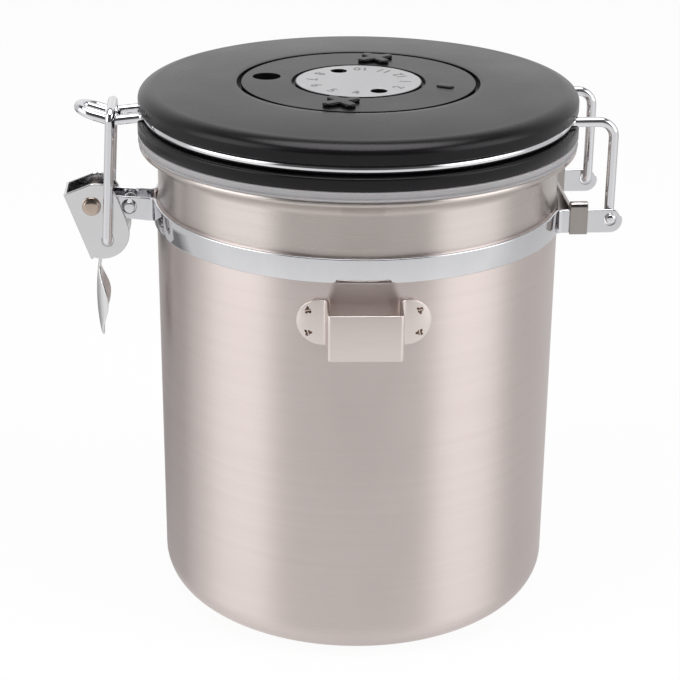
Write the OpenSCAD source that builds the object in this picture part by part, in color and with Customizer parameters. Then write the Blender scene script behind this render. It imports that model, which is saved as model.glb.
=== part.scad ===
// Clip-top steel coffee canister with a vent valve and a two-dial date lid.
// Millimetres, Z up. The origin is on the canister's axis, at the foot it stands on.
// The lid hinge is toward +X, the latch toward -X and the scoop holder toward -Y.

/* [Canister] */
// Outer diameter of the body
body_d = 120; // [110:1:140]
// Height from the foot to the top of the rolled rim
can_h = 143.1; // [125:0.1:180]
// Thickness of the steel sheet
wall = 0.8; // [0.5:0.1:1.2]
// Radius of the bottom corner
corner_r = 10; // [5:0.5:14]
// Width of the flat ring that the canister stands on
foot_w = 7; // [4:0.5:12]
// Width of the ring groove in the base, inside the foot
groove_w = 14; // [6:0.5:24]
// How far the ring groove is pressed up
foot_rise = 0.8; // [0.4:0.1:2]
// Height of the neck, from the shoulder step to the top of the rim
neck_h = 16.8; // [15:0.1:22]
// How far the neck is set in from the body
neck_inset = 0.6; // [0.3:0.1:1.2]
// How far the neck flares out below the rim
flare_w = 3.5; // [2.5:0.1:4]
// Height of the flare
flare_h = 7.5; // [5:0.1:8]
// Diameter of the rolled rim
bead_d = 1.8; // [1.4:0.1:2.2]

/* [Strap] */
// Height of the strap
strap_h = 7.1; // [6:0.1:9]
// Thickness of the strap
strap_t = 0.9; // [0.7:0.1:1.2]
// Distance from the shoulder step down to the middle of the strap
strap_drop = 4.1; // [4:0.1:20]
// Clearance between the strap and the body
strap_fit = 0.05; // [0.02:0.01:0.1]

/* [Lid hinge] */
// Distance between the outer faces of the hinge ears
hinge_w = 40.8; // [34:0.1:50]
// Distance from the body's wall to the hinge pin line
hinge_reach = 13; // [11:0.1:18]
// Height of the hinge pin line above the middle of the strap
hinge_rise = 0.6; // [0:0.1:1]
// Inner bend radius where the strap turns into a hinge ear
hinge_bend = 2.6; // [1:0.1:4]
// Diameter of the lid wire
lid_wire_d = 2.9; // [2.4:0.1:3]
// Radius of the bend at the top of a hinge leg, on the wire's middle line
hinge_leg_bend = 4.5; // [3:0.1:5]
// Radius of the bend at the foot of a hinge leg, on the wire's middle line
hinge_foot_bend = 2; // [1.6:0.1:3]
// How far a wire foot stands out past its ear
hinge_foot_out = 0.8; // [0.4:0.1:2]
// Radial running clearance of every pin in its hole
pin_gap = 0.08; // [0.05:0.01:0.1]
// Sheet thickness of the tie that holds the hinge ears together
tie_t = 1; // [0.7:0.1:1.2]
// Width of the tie's folded tabs
tie_w = 5.2; // [4:0.1:5.6]
// Distance from the body's wall to the tie
tie_reach = 1.2; // [1:0.1:1.6]
// Clearance between the tie and the ears
tie_gap = 0.1; // [0.05:0.01:0.2]

/* [Latch] */
// Distance between the inner faces of the latch ears
ear_gap = 7.8; // [6.6:0.1:9]
// Inner bend radius where the strap turns into a latch ear
ear_bend = 1.2; // [0.8:0.1:2]
// Distance from the body's wall to the lever's pivot
lever_reach = 19; // [17:0.1:21]
// Height of the lever's pivot above the middle of the strap
lever_rise = 1.6; // [0.8:0.1:2]
// Radius of a latch ear round the lever's pivot
ear_tip_r = 3.3; // [3:0.1:3.5]
// Diameter of the pin that ties the latch ears together
tie_pin_d = 3.6; // [2.6:0.1:4]
// Distance from the body's wall to the tie pin
tie_pin_reach = 8; // [7:0.1:9]
// Diameter of the lever rivet's shank
rivet_d = 4; // [3.2:0.1:4.6]
// Diameter of the lever rivet's heads
rivet_head_d = 5.6; // [5:0.1:6.4]
// Thickness of the lever rivet's heads
rivet_head_t = 0.5; // [0.3:0.1:0.6]
// Sheet thickness of the lever
lever_t = 0.9; // [0.7:0.1:1.1]
// Side clearance between the lever and the latch ears
lever_gap = 0.5; // [0.3:0.1:0.8]
// Length of the lever's finger tab
tab_l = 24; // [18:0.5:30]
// Width of the finger tab
tab_w = 13; // [9:0.5:15]
// Radius of the finger tab's gutter, which is open toward the body
tab_dish_r = 8; // [7:0.5:12]
// Width of the neck between the lever and its finger tab
tab_neck_w = 5; // [4:0.1:7]
// Diameter of the bail wire
bail_d = 2.75; // [2.4:0.05:2.9]
// Side clearance between the bail and what it passes
bail_gap = 0.2; // [0.15:0.05:0.5]
// Clearance between the bail and the nose at rest, for its travel past dead centre
hook_gap = 2; // [1.9:0.05:2.4]
// Radius of the bail's top bends, on the wire's middle line
bail_bend = 2.6; // [2.2:0.1:2.7]

/* [Lid nose] */
// Distance between the two strands of the nose, on their middle lines
nose_w = 11; // [9:0.1:12.5]
// How far the nose's tip stands out from the lid wire's ring
nose_reach = 19.8; // [19:0.1:21]
// How far the nose dips below the ring where the bail hooks on
nose_dip = 1.2; // [0.8:0.1:1.3]
// Distance from the nose's root to the place where the bail hooks on
hook_run = 7; // [6.6:0.1:7.6]
// Upward slope of the nose's tip, in degrees
nose_tilt = 11; // [8:0.5:11.5]
// Gap between the nose's two nested wires
nest_gap = 0.02; // [0.01:0.01:0.05]

/* [Lid] */
// How far the lower lid ring stands out past the rim
base_over = 1.2; // [0.8:0.1:2]
// How far the cover's skirt is set in from the lower lid ring
lid_inset = 1.5; // [0.5:0.1:1.8]
// Height of the lid's flat top above the rim
lid_rise = 16.6; // [16:0.1:19]
// Height of the skirt's lower lip above the rim
lip_rise = 9.9; // [9.7:0.1:10.1]
// Width of the rounded shoulder
shoulder_w = 3.4; // [2:0.1:4]
// Height of the rounded shoulder
shoulder_h = 2.1; // [1.5:0.1:3]
// Wall thickness of the moulded lid parts
lid_wall = 2; // [1.6:0.1:2.4]
// How far the ring wire's middle line lies inside the cover's skirt
ring_inset = 2.4; // [2:0.1:2.5]
// Height of the ring wire above the rim
ring_rise = 8.3; // [8.2:0.1:8.4]
// Height of the lower lid ring's top above the rim
base_top_rise = 6.6; // [6.4:0.1:6.7]
// Thickness of the seal
seal_t = 2.85; // [2.2:0.05:3.2]
// Gap between the seal and the rim when the lid is closed
seal_gap = 0.05; // [0.02:0.01:0.1]
// Clearance between the plug and the neck's wall
plug_gap = 1.1; // [0.8:0.1:3]
// Depth of the plug below the rim
plug_depth = 2.1; // [1:0.1:2.6]
// Distance from the plug's inner wall to a lid screw's middle
screw_inset = 8.5; // [6:0.5:11]
// Number of lid screws
screw_count = 4; // [3:1:6]
// Diameter of a lid screw's thread
screw_d = 3; // [2.5:0.1:3.5]
// Length of a lid screw
screw_l = 10; // [8:0.5:12]

/* [Date dials] */
// Radius of the day disc
day_r = 35; // [32:0.1:38]
// Running gap round the day disc
dial_gap = 0.3; // [0.2:0.05:0.5]
// How far the dials lie below the lid's top
dial_sink = 0.4; // [0.2:0.1:0.8]
// Radius of the month dial
month_r = 19.3; // [18:0.1:21]
// Thickness of the month dial
month_t = 0.8; // [0.6:0.1:1]
// How far the month dial stands above the day disc
month_rise = 0.4; // [0:0.1:0.6]
// Gap round the month dial
month_gap = 0.8; // [0.3:0.1:1]
// Thickness of the day disc
day_t = 1.9; // [1.6:0.1:2.2]
// Distance from the month dial's edge to a vent hole's middle
vent_inset = 6.3; // [5:0.1:8]
// Diameter of a vent hole in the month dial
vent_d = 5.2; // [3.6:0.1:5.6]
// Distance from the day disc's edge to the window's middle
window_inset = 7.5; // [6.5:0.1:8]
// Diameter of the day window
window_d = 8.3; // [6:0.1:9]
// Distance from the month dial's seat to a cross knob's middle
knob_inset = 6.2; // [5.5:0.1:7.5]
// Length of a cross knob's arm from end to end
knob_l = 12.4; // [10:0.1:13]
// Width of a cross knob's arm
knob_w = 3.6; // [2.8:0.1:4]
// Height of a cross knob
knob_h = 1.5; // [1:0.1:2]
// Diameter of the dial axle's tube
axle_d = 10; // [8:0.1:11]
// Diameter of the month dial's stem
stem_d = 5; // [4:0.1:5.4]

/* [Vent valve] */
// Diameter of the valve seat's spigot, which fills a hole in the plug
seat_d = 24; // [22:0.5:28]
// Diameter of the rubber membrane
membrane_d = 17; // [15.5:0.5:18]
// Thickness of the membrane
membrane_t = 1; // [0.8:0.1:1.2]
// How far the membrane can lift
membrane_lift = 0.8; // [0.4:0.1:1]
// Number of vent holes through the valve seat
seat_holes = 6; // [4:1:8]
// Diameter of the guide pin in the middle of the valve seat
guide_d = 3; // [2.4:0.1:3.4]
// Diameter of a hole in the filter screen
screen_hole_d = 1.6; // [1.2:0.1:1.8]

/* [Scoop holder] */
// Width of the holder over its two flanges
scoop_w = 37.1; // [34:0.1:44]
// Width of the front plate
scoop_plate_w = 20.9; // [18:0.1:24]
// Height of the holder
scoop_h = 13.2; // [10:0.1:16]
// Distance from the body's wall to the outside of the front plate
scoop_out = 12; // [8:0.1:16]
// Distance from the strap's middle down to the middle of the holder
scoop_drop = 15.2; // [11:0.1:40]
// Turn of the holder about the canister's axis, in degrees
scoop_turn = -1.8; // [-10:0.1:10]
// Sheet thickness of the holder
scoop_t = 0.8; // [0.6:0.1:1.2]
// Diameter of a spot weld mark
spot_d = 1.8; // [1.4:0.1:2.4]

/* [Hidden] */
$fn = 96;

// Canister heights and radii
body_r = body_d/2;
neck_r = body_r - neck_inset;
flare_r = neck_r + flare_w;
bead_r = bead_d/2;
step_z = can_h - neck_h;
step_h = 1.3;
flare_z = can_h - bead_d - flare_h + 0.2;
foot_out_r = body_r - corner_r;
foot_in_r = foot_out_r - foot_w;
foot_slope = 1.5*foot_rise;
base_pad_r = foot_in_r - groove_w;

// Strap and hinge places
strap_z = step_z - strap_drop;
strap_in_r = body_r + strap_fit;
strap_mid_r = strap_in_r + strap_t/2;
strap_low = strap_z - strap_h/2;
hinge_x = body_r + hinge_reach;
hinge_z = strap_z + hinge_rise;
hinge_ear_y = (hinge_w - strap_t)/2;
hinge_ear_end_r = strap_h/2;
wire_r = lid_wire_d/2;
hinge_leg_y = hinge_ear_y - strap_t/2 - hinge_foot_bend;

// Latch places
latch_ear_y = (ear_gap + strap_t)/2;
lever_x = -(body_r + lever_reach);
lever_z = strap_z + lever_rise;
tie_pin_x = -(body_r + tie_pin_reach);
tie_pin_z = strap_z + lever_rise*tie_pin_reach/lever_reach;
lever_in_y = ear_gap/2 + strap_t + lever_gap;
lever_out_y = lever_in_y + lever_t;
tie_pin_l = 2*(lever_in_y - 0.1);

// Lever plate outline, measured from the pivot
lever_top_x = 1.5;
lever_top_z = 0.4;
lever_top_r = 6.5;
lever_low_x = 2.8;
lever_low_z = -8.4;
lever_low_r = 8.1;
web_top = [-8.1, 3.6];
web_low = [-0.8, -16.6];
bail_hole = [4.3, -10.7];
tab_top_drop = 19.4;
tab_back_x = 0.1;

// Lid radii and heights
base_r = flare_r + 2*bead_r + base_over;
lid_r = base_r - lid_inset;
ring_r = lid_r - ring_inset;
plug_r = neck_r - wall - plug_gap;
screw_circle_r = plug_r - lid_wall - screw_inset;
lid_top_z = can_h + lid_rise;
lip_z = can_h + lip_rise;
ring_z = can_h + ring_rise;
base_top_z = can_h + base_top_rise;
seal_low_z = can_h + seal_gap;
seal_top_z = seal_low_z + seal_t;
plug_low_z = can_h - plug_depth;
groove_r = ring_r - wire_r - 0.15;
spigot_w = 2.2;
plate_low_z = lid_top_z - lid_wall;

// Nose path: the dip where the bail hooks on is an arc that meets a slope down from the ring
strand_y = nose_w/2;
nose_root_bend = 3;
nose_root_x = -sqrt(pow(ring_r + nose_root_bend, 2) - pow(strand_y + nose_root_bend, 2));
dip_bend = 8;
hook_x = nose_root_x - hook_run;
hook_z = ring_z - nose_dip;
dip_start = [nose_root_x, ring_z];
dip_middle = [hook_x, hook_z + dip_bend];
dip_bends = nose_root_bend + dip_bend;
dip_run = nose_root_x - hook_x;
dip_slope_l = sqrt(dip_run*dip_run + nose_dip*nose_dip - 2*dip_bends*nose_dip);
dip_slope = atan2(dip_run, dip_bends - nose_dip) - atan2(dip_slope_l, dip_bends);
dip_in = dip_middle + dip_bend*[sin(dip_slope), -cos(dip_slope)];
weld_l = dip_slope_l - 1;
tip_x = -(ring_r + nose_reach) + strand_y*cos(nose_tilt);
tip_z = hook_z + dip_bend*(1 - cos(nose_tilt))
  + (hook_x - dip_bend*sin(nose_tilt) - tip_x)*tan(nose_tilt);
inner_strand_y = strand_y - lid_wire_d - nest_gap;

// Bail, from its feet in the lever to the crossbar over the nose
bail_r = bail_d/2;
bail_y = max(strand_y + wire_r, lever_out_y + rivet_head_t) + bail_gap + bail_r;
bail_foot_x = lever_x + bail_hole[0];
bail_foot_z = lever_z + bail_hole[1];
bail_top_z = hook_z + wire_r + hook_gap + bail_r;
bail_foot_bend = 2.2;
bail_len = norm([hook_x - bail_foot_x, bail_top_z - bail_foot_z]);
bail_lean = atan2(hook_x - bail_foot_x, bail_top_z - bail_foot_z);
bail_foot_in = lever_in_y - 0.5;

// Dials
dial_top_z = lid_top_z - dial_sink;
day_low_z = dial_top_z - day_t;
month_top_z = dial_top_z + month_rise;
month_low_z = month_top_z - month_t;
recess_floor_z = day_low_z - 0.2;
recess_r = day_r + dial_gap;
floor_t = 1.5;
floor_low_z = recess_floor_z - floor_t;
web_top_z = month_low_z - 0.1;
month_seat_r = month_r + month_gap;
axle_flange_t = 1.2;
axle_low_z = floor_low_z - axle_flange_t;
stem_low_z = axle_low_z - 1.8;
clip_t = 0.9;
clip_z = axle_low_z - 0.15 - clip_t;
clip_groove_r = stem_d/2 - 0.4;
month_step = 30;
first_vent_month = 3;
month_turn = -7;
vent_circle_r = month_r - vent_inset;
window_circle_r = day_r - window_inset;
knob_circle_r = month_seat_r + knob_inset;
pointer_circle_r = (month_seat_r + day_r)/2 - 1.7;
pointer_l = 5.4;
knob_angles = [75, 255.5];
window_angle = 167;
pointer_angle = -16.8;

// Valve
floor_top_z = plug_low_z + lid_wall;
seat_flange_r = seat_d/2 + 2;
seat_flange_t = 1.2;
seat_top_z = floor_top_z + seat_flange_t;
membrane_low_z = seat_top_z + 0.05;
cage_wall = 1.2;
cage_in_r = membrane_d/2 + 1;
cage_roof_z = membrane_low_z + membrane_t + membrane_lift + 0.2;
seat_hole_circle_r = 5.6;
screen_t = 0.4;
chamber_r = seat_d/2 - 1.6;
chamber_h = 1.4;

// Laps of the wires' and the strap's straight runs, which are a hair thinner than their bends
lap = 0.25;
thin = 0.02;
strap_run_t = strap_t - 2*thin;

// Points of an arc in a profile
function arc(c, r, a0, a1, n) =
  [for (i = [0:n]) let (a = a0 + (a1 - a0)*i/n) [c[0] + r*cos(a), c[1] + r*sin(a)]];

// Points of the neck's flare, a quarter sine from the neck to the rim, set in by the sheet
function flare(inset, n) =
  [for (i = [0:n]) [neck_r - inset + flare_w*sin(90*i/n), flare_z + flare_h*i/n]];

function reversed(list) = [for (i = [len(list) - 1:-1:0]) list[i]];

// Straight wire from p to q; a lapped end reaches a little into the bend beside it, and the
// straight is a hair thinner than the bends, so that it ends inside them
module rod(p, q, r, laps = [1, 1]) {
  d = q - p;
  translate(p)
    rotate([0, acos(d[2]/norm(d)), atan2(d[1], d[0])])
      translate([0, 0, -lap*laps[0]])
        cylinder(h = norm(d) + lap*(laps[0] + laps[1]), r = r - thin, $fn = 48);
}

// Bent wire in the XY plane, on a middle line of radius bend
module bent_rod(bend, r, a0, a1) {
  rotate([0, 0, a0])
    rotate_extrude(angle = a1 - a0)
      translate([bend, 0])
        circle(r, $fn = 48);
}

// Upright band of the strap on an arc round the local origin
module band(r, t, a0, a1) {
  rotate([0, 0, a0])
    rotate_extrude(angle = a1 - a0)
      translate([r - t/2, 0])
        square([t, strap_h]);
}

// Plate with its faces square to Y, from a profile in X and Z
module side_plate(points, y, t) {
  translate([0, y + t/2, 0])
    rotate([90, 0, 0])
      linear_extrude(t)
        polygon(points);
}

// Pin along Y through both sides of the middle plane
module cross_pin(x, z, r, l) {
  translate([x, 0, z])
    rotate([90, 0, 0])
      cylinder(h = l, r = r, center = true, $fn = 64);
}

// Middle of the fillet between the strap and an ear at distance y
function fillet_x(y, bend) = sqrt(pow(strap_mid_r + bend, 2) - pow(y + bend, 2));
function fillet_angle(y, bend) = atan2(y + bend, fillet_x(y, bend));

module canister_shell() {
  bead = [flare_r + bead_r, can_h - bead_r];
  corner = [foot_out_r, corner_r];
  outside = concat(
    [[0, 0], [base_pad_r, 0], [base_pad_r + foot_slope, foot_rise]],
    [[foot_in_r - foot_slope, foot_rise], [foot_in_r, 0]],
    arc(corner, corner_r, -90, 0, 10),
    [[body_r, step_z], [neck_r, step_z + step_h]],
    flare(0, 8),
    arc(bead, bead_r, 215, 470, 16)
  );
  inside = concat(
    [[flare_r - wall/2, can_h - bead_r/4], [flare_r - wall, can_h - bead_r]],
    reversed(flare(wall, 8)),
    [[neck_r - wall, step_z + step_h - wall/2], [body_r - wall, step_z - wall/2]],
    arc(corner, corner_r - wall, 0, -90, 10),
    [[foot_in_r + wall/4, wall], [foot_in_r - foot_slope, foot_rise + wall]],
    [[base_pad_r + foot_slope, foot_rise + wall], [base_pad_r - wall/4, wall], [0, wall]]
  );
  color("silver")
    rotate_extrude()
      polygon(concat(outside, inside));
}

// One half of the strap with its hinge ear and its latch ear, on the -Y side
module strap_half() {
  hinge_fillet = hinge_bend + strap_t/2;
  latch_fillet = ear_bend + strap_t/2;
  hinge_a = fillet_angle(hinge_ear_y, hinge_fillet);
  latch_a = fillet_angle(latch_ear_y, latch_fillet);
  hinge_cx = fillet_x(hinge_ear_y, hinge_fillet);
  latch_cx = fillet_x(latch_ear_y, latch_fillet);
  lap_a = lap/strap_mid_r*180/PI;
  translate([0, 0, strap_low]) {
    band(strap_mid_r, strap_run_t, latch_a - 180 - lap_a, lap_a - hinge_a);
    translate([hinge_cx, -hinge_ear_y - hinge_fillet, 0])
      band(hinge_fillet, strap_t, 90, 180 - hinge_a);
    translate([-latch_cx, -latch_ear_y - latch_fillet, 0])
      band(latch_fillet, strap_t, latch_a, 90);
  }
  difference() {
    union() {
      translate([hinge_cx - lap, -hinge_ear_y - strap_run_t/2, strap_low])
        cube([hinge_x - hinge_cx + lap, strap_run_t, strap_h]);
      translate([hinge_x, -hinge_ear_y, strap_z])
        rotate([90, 0, 0])
          cylinder(h = strap_run_t, r = hinge_ear_end_r, center = true);
    }
    translate([hinge_x, -hinge_ear_y, hinge_z])
      rotate([90, 0, 0])
        cylinder(h = 3*strap_t, r = wire_r + pin_gap, center = true);
  }
  difference() {
    union() {
      side_plate([
        [lap - latch_cx, strap_low], [lap - latch_cx, strap_low + strap_h],
        [-latch_cx, strap_low + strap_h], [lever_x, lever_z + ear_tip_r],
        [lever_x, lever_z - ear_tip_r], [-latch_cx, strap_low]
      ], -latch_ear_y, strap_run_t);
      translate([lever_x, -latch_ear_y, lever_z])
        rotate([90, 0, 0])
          cylinder(h = strap_run_t, r = ear_tip_r, center = true);
    }
    cross_pin(lever_x, lever_z, rivet_d/2 + pin_gap, 4*lever_out_y);
    cross_pin(tie_pin_x, tie_pin_z, tie_pin_d/2 + pin_gap/2, 4*lever_out_y);
  }
}

module strap_front() {
  color("gainsboro") strap_half();
}

module strap_rear() {
  color("gainsboro")
    mirror([0, 1, 0])
      strap_half();
}

// Sheet tie between the hinge ears: a web, two arms and a tab folded over each ear
module hinge_tie() {
  in_y = hinge_ear_y - strap_t/2 - tie_gap;
  out_y = hinge_ear_y + strap_t/2 + tie_gap;
  web_x = body_r + tie_reach + strap_t;
  top_z = strap_low + strap_h + tie_gap;
  low_z = strap_low - 0.4;
  color("gray") {
    translate([web_x, -in_y, strap_low])
      cube([tie_t, 2*in_y, top_z + tie_t - strap_low]);
    for (side = [-1, 1])
      scale([1, side, 1]) {
        translate([web_x, in_y - tie_t, strap_low])
          cube([tie_w, tie_t, top_z + tie_t - strap_low]);
        translate([web_x, in_y - tie_t, top_z])
          cube([tie_w, out_y - in_y + 2*tie_t, tie_t]);
        translate([web_x, out_y, low_z])
          cube([tie_w, tie_t, top_z + tie_t - low_z]);
      }
  }
}

module latch_tie_pin() {
  color("white")
    difference() {
      cross_pin(tie_pin_x, tie_pin_z, tie_pin_d/2, tie_pin_l);
      for (side = [-1, 1])
        translate([tie_pin_x, side*tie_pin_l/2, tie_pin_z])
          rotate([-90*side, 0, 0])
            translate([0, 0, -0.3])
              difference() {
                cylinder(h = 1, r = tie_pin_d, $fn = 64);
                translate([0, 0, -0.1])
                  cylinder(h = 0.8, r1 = tie_pin_d/2 + 0.1, r2 = tie_pin_d/2 - 0.7, $fn = 64);
              }
    }
}

// Tubular rivet that the lever turns on
module lever_rivet() {
  head_y = lever_out_y + 0.1;
  color("silver")
    difference() {
      union() {
        cross_pin(lever_x, lever_z, rivet_d/2, 2*head_y);
        for (side = [-1, 1])
          translate([lever_x, side*(head_y + rivet_head_t/2), lever_z])
            rotate([90, 0, 0])
              cylinder(h = rivet_head_t, r = rivet_head_d/2, center = true, $fn = 64);
      }
      cross_pin(lever_x, lever_z, rivet_d/2 - 0.7, 4*head_y);
    }
}

// Hat-shaped sheet loop that holds a scoop, with half-round flanges on the body
module scoop_holder() {
  side_x = scoop_plate_w/2;
  front_y = -(body_r + scoop_out);
  end_x = scoop_w/2 - scoop_h/2;
  cut_l = 2*body_r/3;
  scoop_z = strap_z - scoop_drop;
  flange_r = body_r + 0.02;
  low_z = scoop_z - scoop_h/2;
  weld_x = side_x + scoop_t + (scoop_w/2 - side_x)*0.55;
  color("lightgray")
    rotate([0, 0, scoop_turn])
      difference() {
        union() {
          translate([-side_x, front_y, low_z])
            cube([scoop_plate_w, scoop_t, scoop_h]);
          for (side = [-1, 1]) {
            translate([side*(side_x - scoop_t/2) - scoop_t/2, front_y, low_z])
              cube([scoop_t, scoop_out + 1.6, scoop_h]);
            intersection() {
              difference() {
                cylinder(h = can_h, r = flange_r + scoop_t, $fn = 180);
                translate([0, 0, -1])
                  cylinder(h = can_h + 2, r = flange_r, $fn = 180);
              }
              translate([0, -body_r, scoop_z])
                rotate([90, 0, 0]) {
                  translate([side*(side_x + end_x)/2 - (end_x - side_x)/2 - scoop_t/2, -scoop_h/2, -cut_l/2])
                    cube([end_x - side_x + scoop_t, scoop_h, cut_l]);
                  translate([side*end_x, 0, -cut_l/2])
                    cylinder(h = cut_l, r = scoop_h/2);
                }
              translate([side > 0 ? side_x - scoop_t : -scoop_w, -2*body_r, low_z])
                cube([scoop_w - side_x + scoop_t, 2*body_r, scoop_h]);
            }
          }
        }
        translate([0, 0, low_z - 1])
          cylinder(h = scoop_h + 2, r = flange_r, $fn = 180);
        for (side = [-1, 1])
          for (up = [-1, 1])
            translate([side*weld_x, 0, scoop_z + up*scoop_h*0.27])
              rotate([90, 0, 0])
                translate([0, 0, sqrt(pow(flange_r + scoop_t, 2) - pow(weld_x, 2)) - 0.3])
                  cylinder(h = 4, r = spot_d/2, $fn = 32);
      }
}

// Over-centre lever: a channel of two plates and a web, with a dished finger tab
module latch_lever() {
  plate = concat(
    [web_low, web_top],
    arc([lever_top_x, lever_top_z], lever_top_r, 105, 24, 8),
    arc([lever_low_x, lever_low_z], lever_low_r, 24, -108, 12)
  );
  run = web_low - web_top;
  slope = atan2(run[0], -run[1]);
  half_l = tab_l/2;
  leaf_r = (half_l*half_l + tab_w*tab_w/4)/tab_w;
  tab_middle_z = -tab_top_drop - half_l;
  color("lightgray")
    translate([lever_x, 0, lever_z]) {
      difference() {
        for (side = [-1, 1])
          side_plate(plate, side*(lever_in_y + lever_t/2), lever_t);
        cross_pin(0, 0, rivet_d/2 + pin_gap, 4*lever_out_y);
        cross_pin(bail_hole[0], bail_hole[1], bail_r + pin_gap, 4*lever_out_y);
      }
      translate([web_top[0], 0, web_top[1]])
        rotate([0, -slope, 0])
          translate([0, -lever_out_y + 0.05, -norm(run)])
            cube([lever_t, 2*lever_out_y - 0.1, norm(run)]);
      translate([web_low[0], 0, web_low[1]])
        rotate([0, -slope, 0])
          translate([0, -tab_neck_w/2, -5])
            cube([lever_t, tab_neck_w, 5.5]);
      intersection() {
        translate([tab_back_x + tab_dish_r, 0, tab_middle_z - half_l - 1])
          difference() {
            cylinder(h = tab_l + 2, r = tab_dish_r);
            translate([0, 0, -1])
              cylinder(h = tab_l + 4, r = tab_dish_r - lever_t);
          }
        translate([tab_back_x - 1, 0, tab_middle_z])
          rotate([0, 90, 0])
            intersection() {
              translate([0, leaf_r - tab_w/2, 0])
                cylinder(h = tab_dish_r, r = leaf_r);
              translate([0, tab_w/2 - leaf_r, 0])
                cylinder(h = tab_dish_r, r = leaf_r);
            }
      }
    }
}

// U-shaped wire that pulls the nose down; its feet turn in the lever's plates
module latch_bail() {
  leg = bail_y;
  color("whitesmoke")
    translate([bail_foot_x, 0, bail_foot_z])
      rotate([0, bail_lean, 0])
        rotate([90, 0, 90]) {
          for (side = [-1, 1])
            mirror([side < 0 ? 1 : 0, 0, 0]) {
              rod([leg, bail_foot_bend, 0], [leg, bail_len - bail_bend, 0], bail_r);
              translate([leg - bail_bend, bail_len - bail_bend, 0])
                bent_rod(bail_bend, bail_r, 0, 90);
              translate([leg - bail_foot_bend, bail_foot_bend, 0])
                bent_rod(bail_foot_bend, bail_r, 270, 360);
              rod([bail_foot_in, 0, 0], [leg - bail_foot_bend, 0, 0], bail_r, [0, 1]);
            }
          rod([bail_bend - leg, bail_len, 0], [leg - bail_bend, bail_len, 0], bail_r);
        }
}

// Lid wire: a ring in the lid's groove, a nose for the latch and two legs for the hinge
module lid_ring_wire() {
  hinge_root_bend = 3;
  leg_root_y = hinge_leg_y + hinge_root_bend;
  leg_root_x = sqrt(pow(ring_r + hinge_root_bend, 2) - pow(leg_root_y, 2));
  leg_a = atan2(leg_root_y, leg_root_x);
  nose_a = atan2(strand_y + nose_root_bend, -nose_root_x);
  lap_a = lap/ring_r*180/PI;
  leg_top_x = hinge_x - hinge_leg_bend;
  foot_y = hinge_leg_y + hinge_foot_bend;
  color("whitesmoke") {
    for (side = [-1, 1])
      mirror([0, side < 0 ? 0 : 1, 0]) {
        translate([0, 0, ring_z]) {
          bent_rod(ring_r, wire_r - thin, nose_a - 180 - lap_a, lap_a - leg_a);
          translate([nose_root_x, -strand_y - nose_root_bend, 0])
            bent_rod(nose_root_bend, wire_r, nose_a, 90);
          translate([leg_root_x, -leg_root_y, 0])
            bent_rod(hinge_root_bend, wire_r, 90, 180 - leg_a);
        }
        rod([leg_root_x, -hinge_leg_y, ring_z], [leg_top_x, -hinge_leg_y, ring_z], wire_r);
        translate([leg_top_x, -hinge_leg_y, ring_z - hinge_leg_bend])
          rotate([90, 0, 0])
            bent_rod(hinge_leg_bend, wire_r, 0, 90);
        rod([hinge_x, -hinge_leg_y, hinge_z + hinge_foot_bend],
            [hinge_x, -hinge_leg_y, ring_z - hinge_leg_bend], wire_r);
        translate([hinge_x, -foot_y, hinge_z + hinge_foot_bend])
          rotate([90, 0, 90])
            bent_rod(hinge_foot_bend, wire_r, 270, 360);
        rod([hinge_x, -foot_y, hinge_z], [hinge_x, -hinge_w/2 - hinge_foot_out, hinge_z],
            wire_r, [1, 0]);
        nose_strand(strand_y);
      }
    nose_hook(strand_y);
  }
}

// One strand of the nose at -Y: level at the ring, then down into the dip
module nose_strand(y) {
  level_end = dip_start + nose_root_bend*[-sin(dip_slope), cos(dip_slope) - 1];
  translate([dip_start[0] + lap, -y, dip_start[1]])
    rotate([0, -90, 0])
      cylinder(h = 2*lap, r = wire_r - thin, $fn = 48);
  translate([dip_start[0], -y, dip_start[1] - nose_root_bend])
    rotate([90, 0, 0])
      bent_rod(nose_root_bend, wire_r, 90, 90 + dip_slope);
  rod([level_end[0], -y, level_end[1]], [dip_in[0], -y, dip_in[1]], wire_r);
}

// The nose's dip on both sides and the tilted half turn at its tip
module nose_hook(y) {
  dip_out = dip_middle - dip_bend*[sin(nose_tilt), cos(nose_tilt)];
  for (side = [-1, 1]) {
    translate([dip_middle[0], side*y, dip_middle[1]])
      rotate([90, 0, 0])
        bent_rod(dip_bend, wire_r, 270 - nose_tilt, 270 + dip_slope);
    rod([dip_out[0], side*y, dip_out[1]], [tip_x, side*y, tip_z], wire_r);
  }
  translate([tip_x, 0, tip_z])
    rotate([0, nose_tilt, 0])
      bent_rod(y, wire_r, 90, 270);
}

// Second wire nested inside the nose and welded to it
module nose_wire() {
  start = dip_in + weld_l*[cos(dip_slope), sin(dip_slope)];
  color("whitesmoke") {
    for (side = [-1, 1])
      rod([start[0], side*inner_strand_y, start[1]], [dip_in[0], side*inner_strand_y, dip_in[1]],
          wire_r, [0, 1]);
    nose_hook(inner_strand_y);
  }
}

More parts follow.
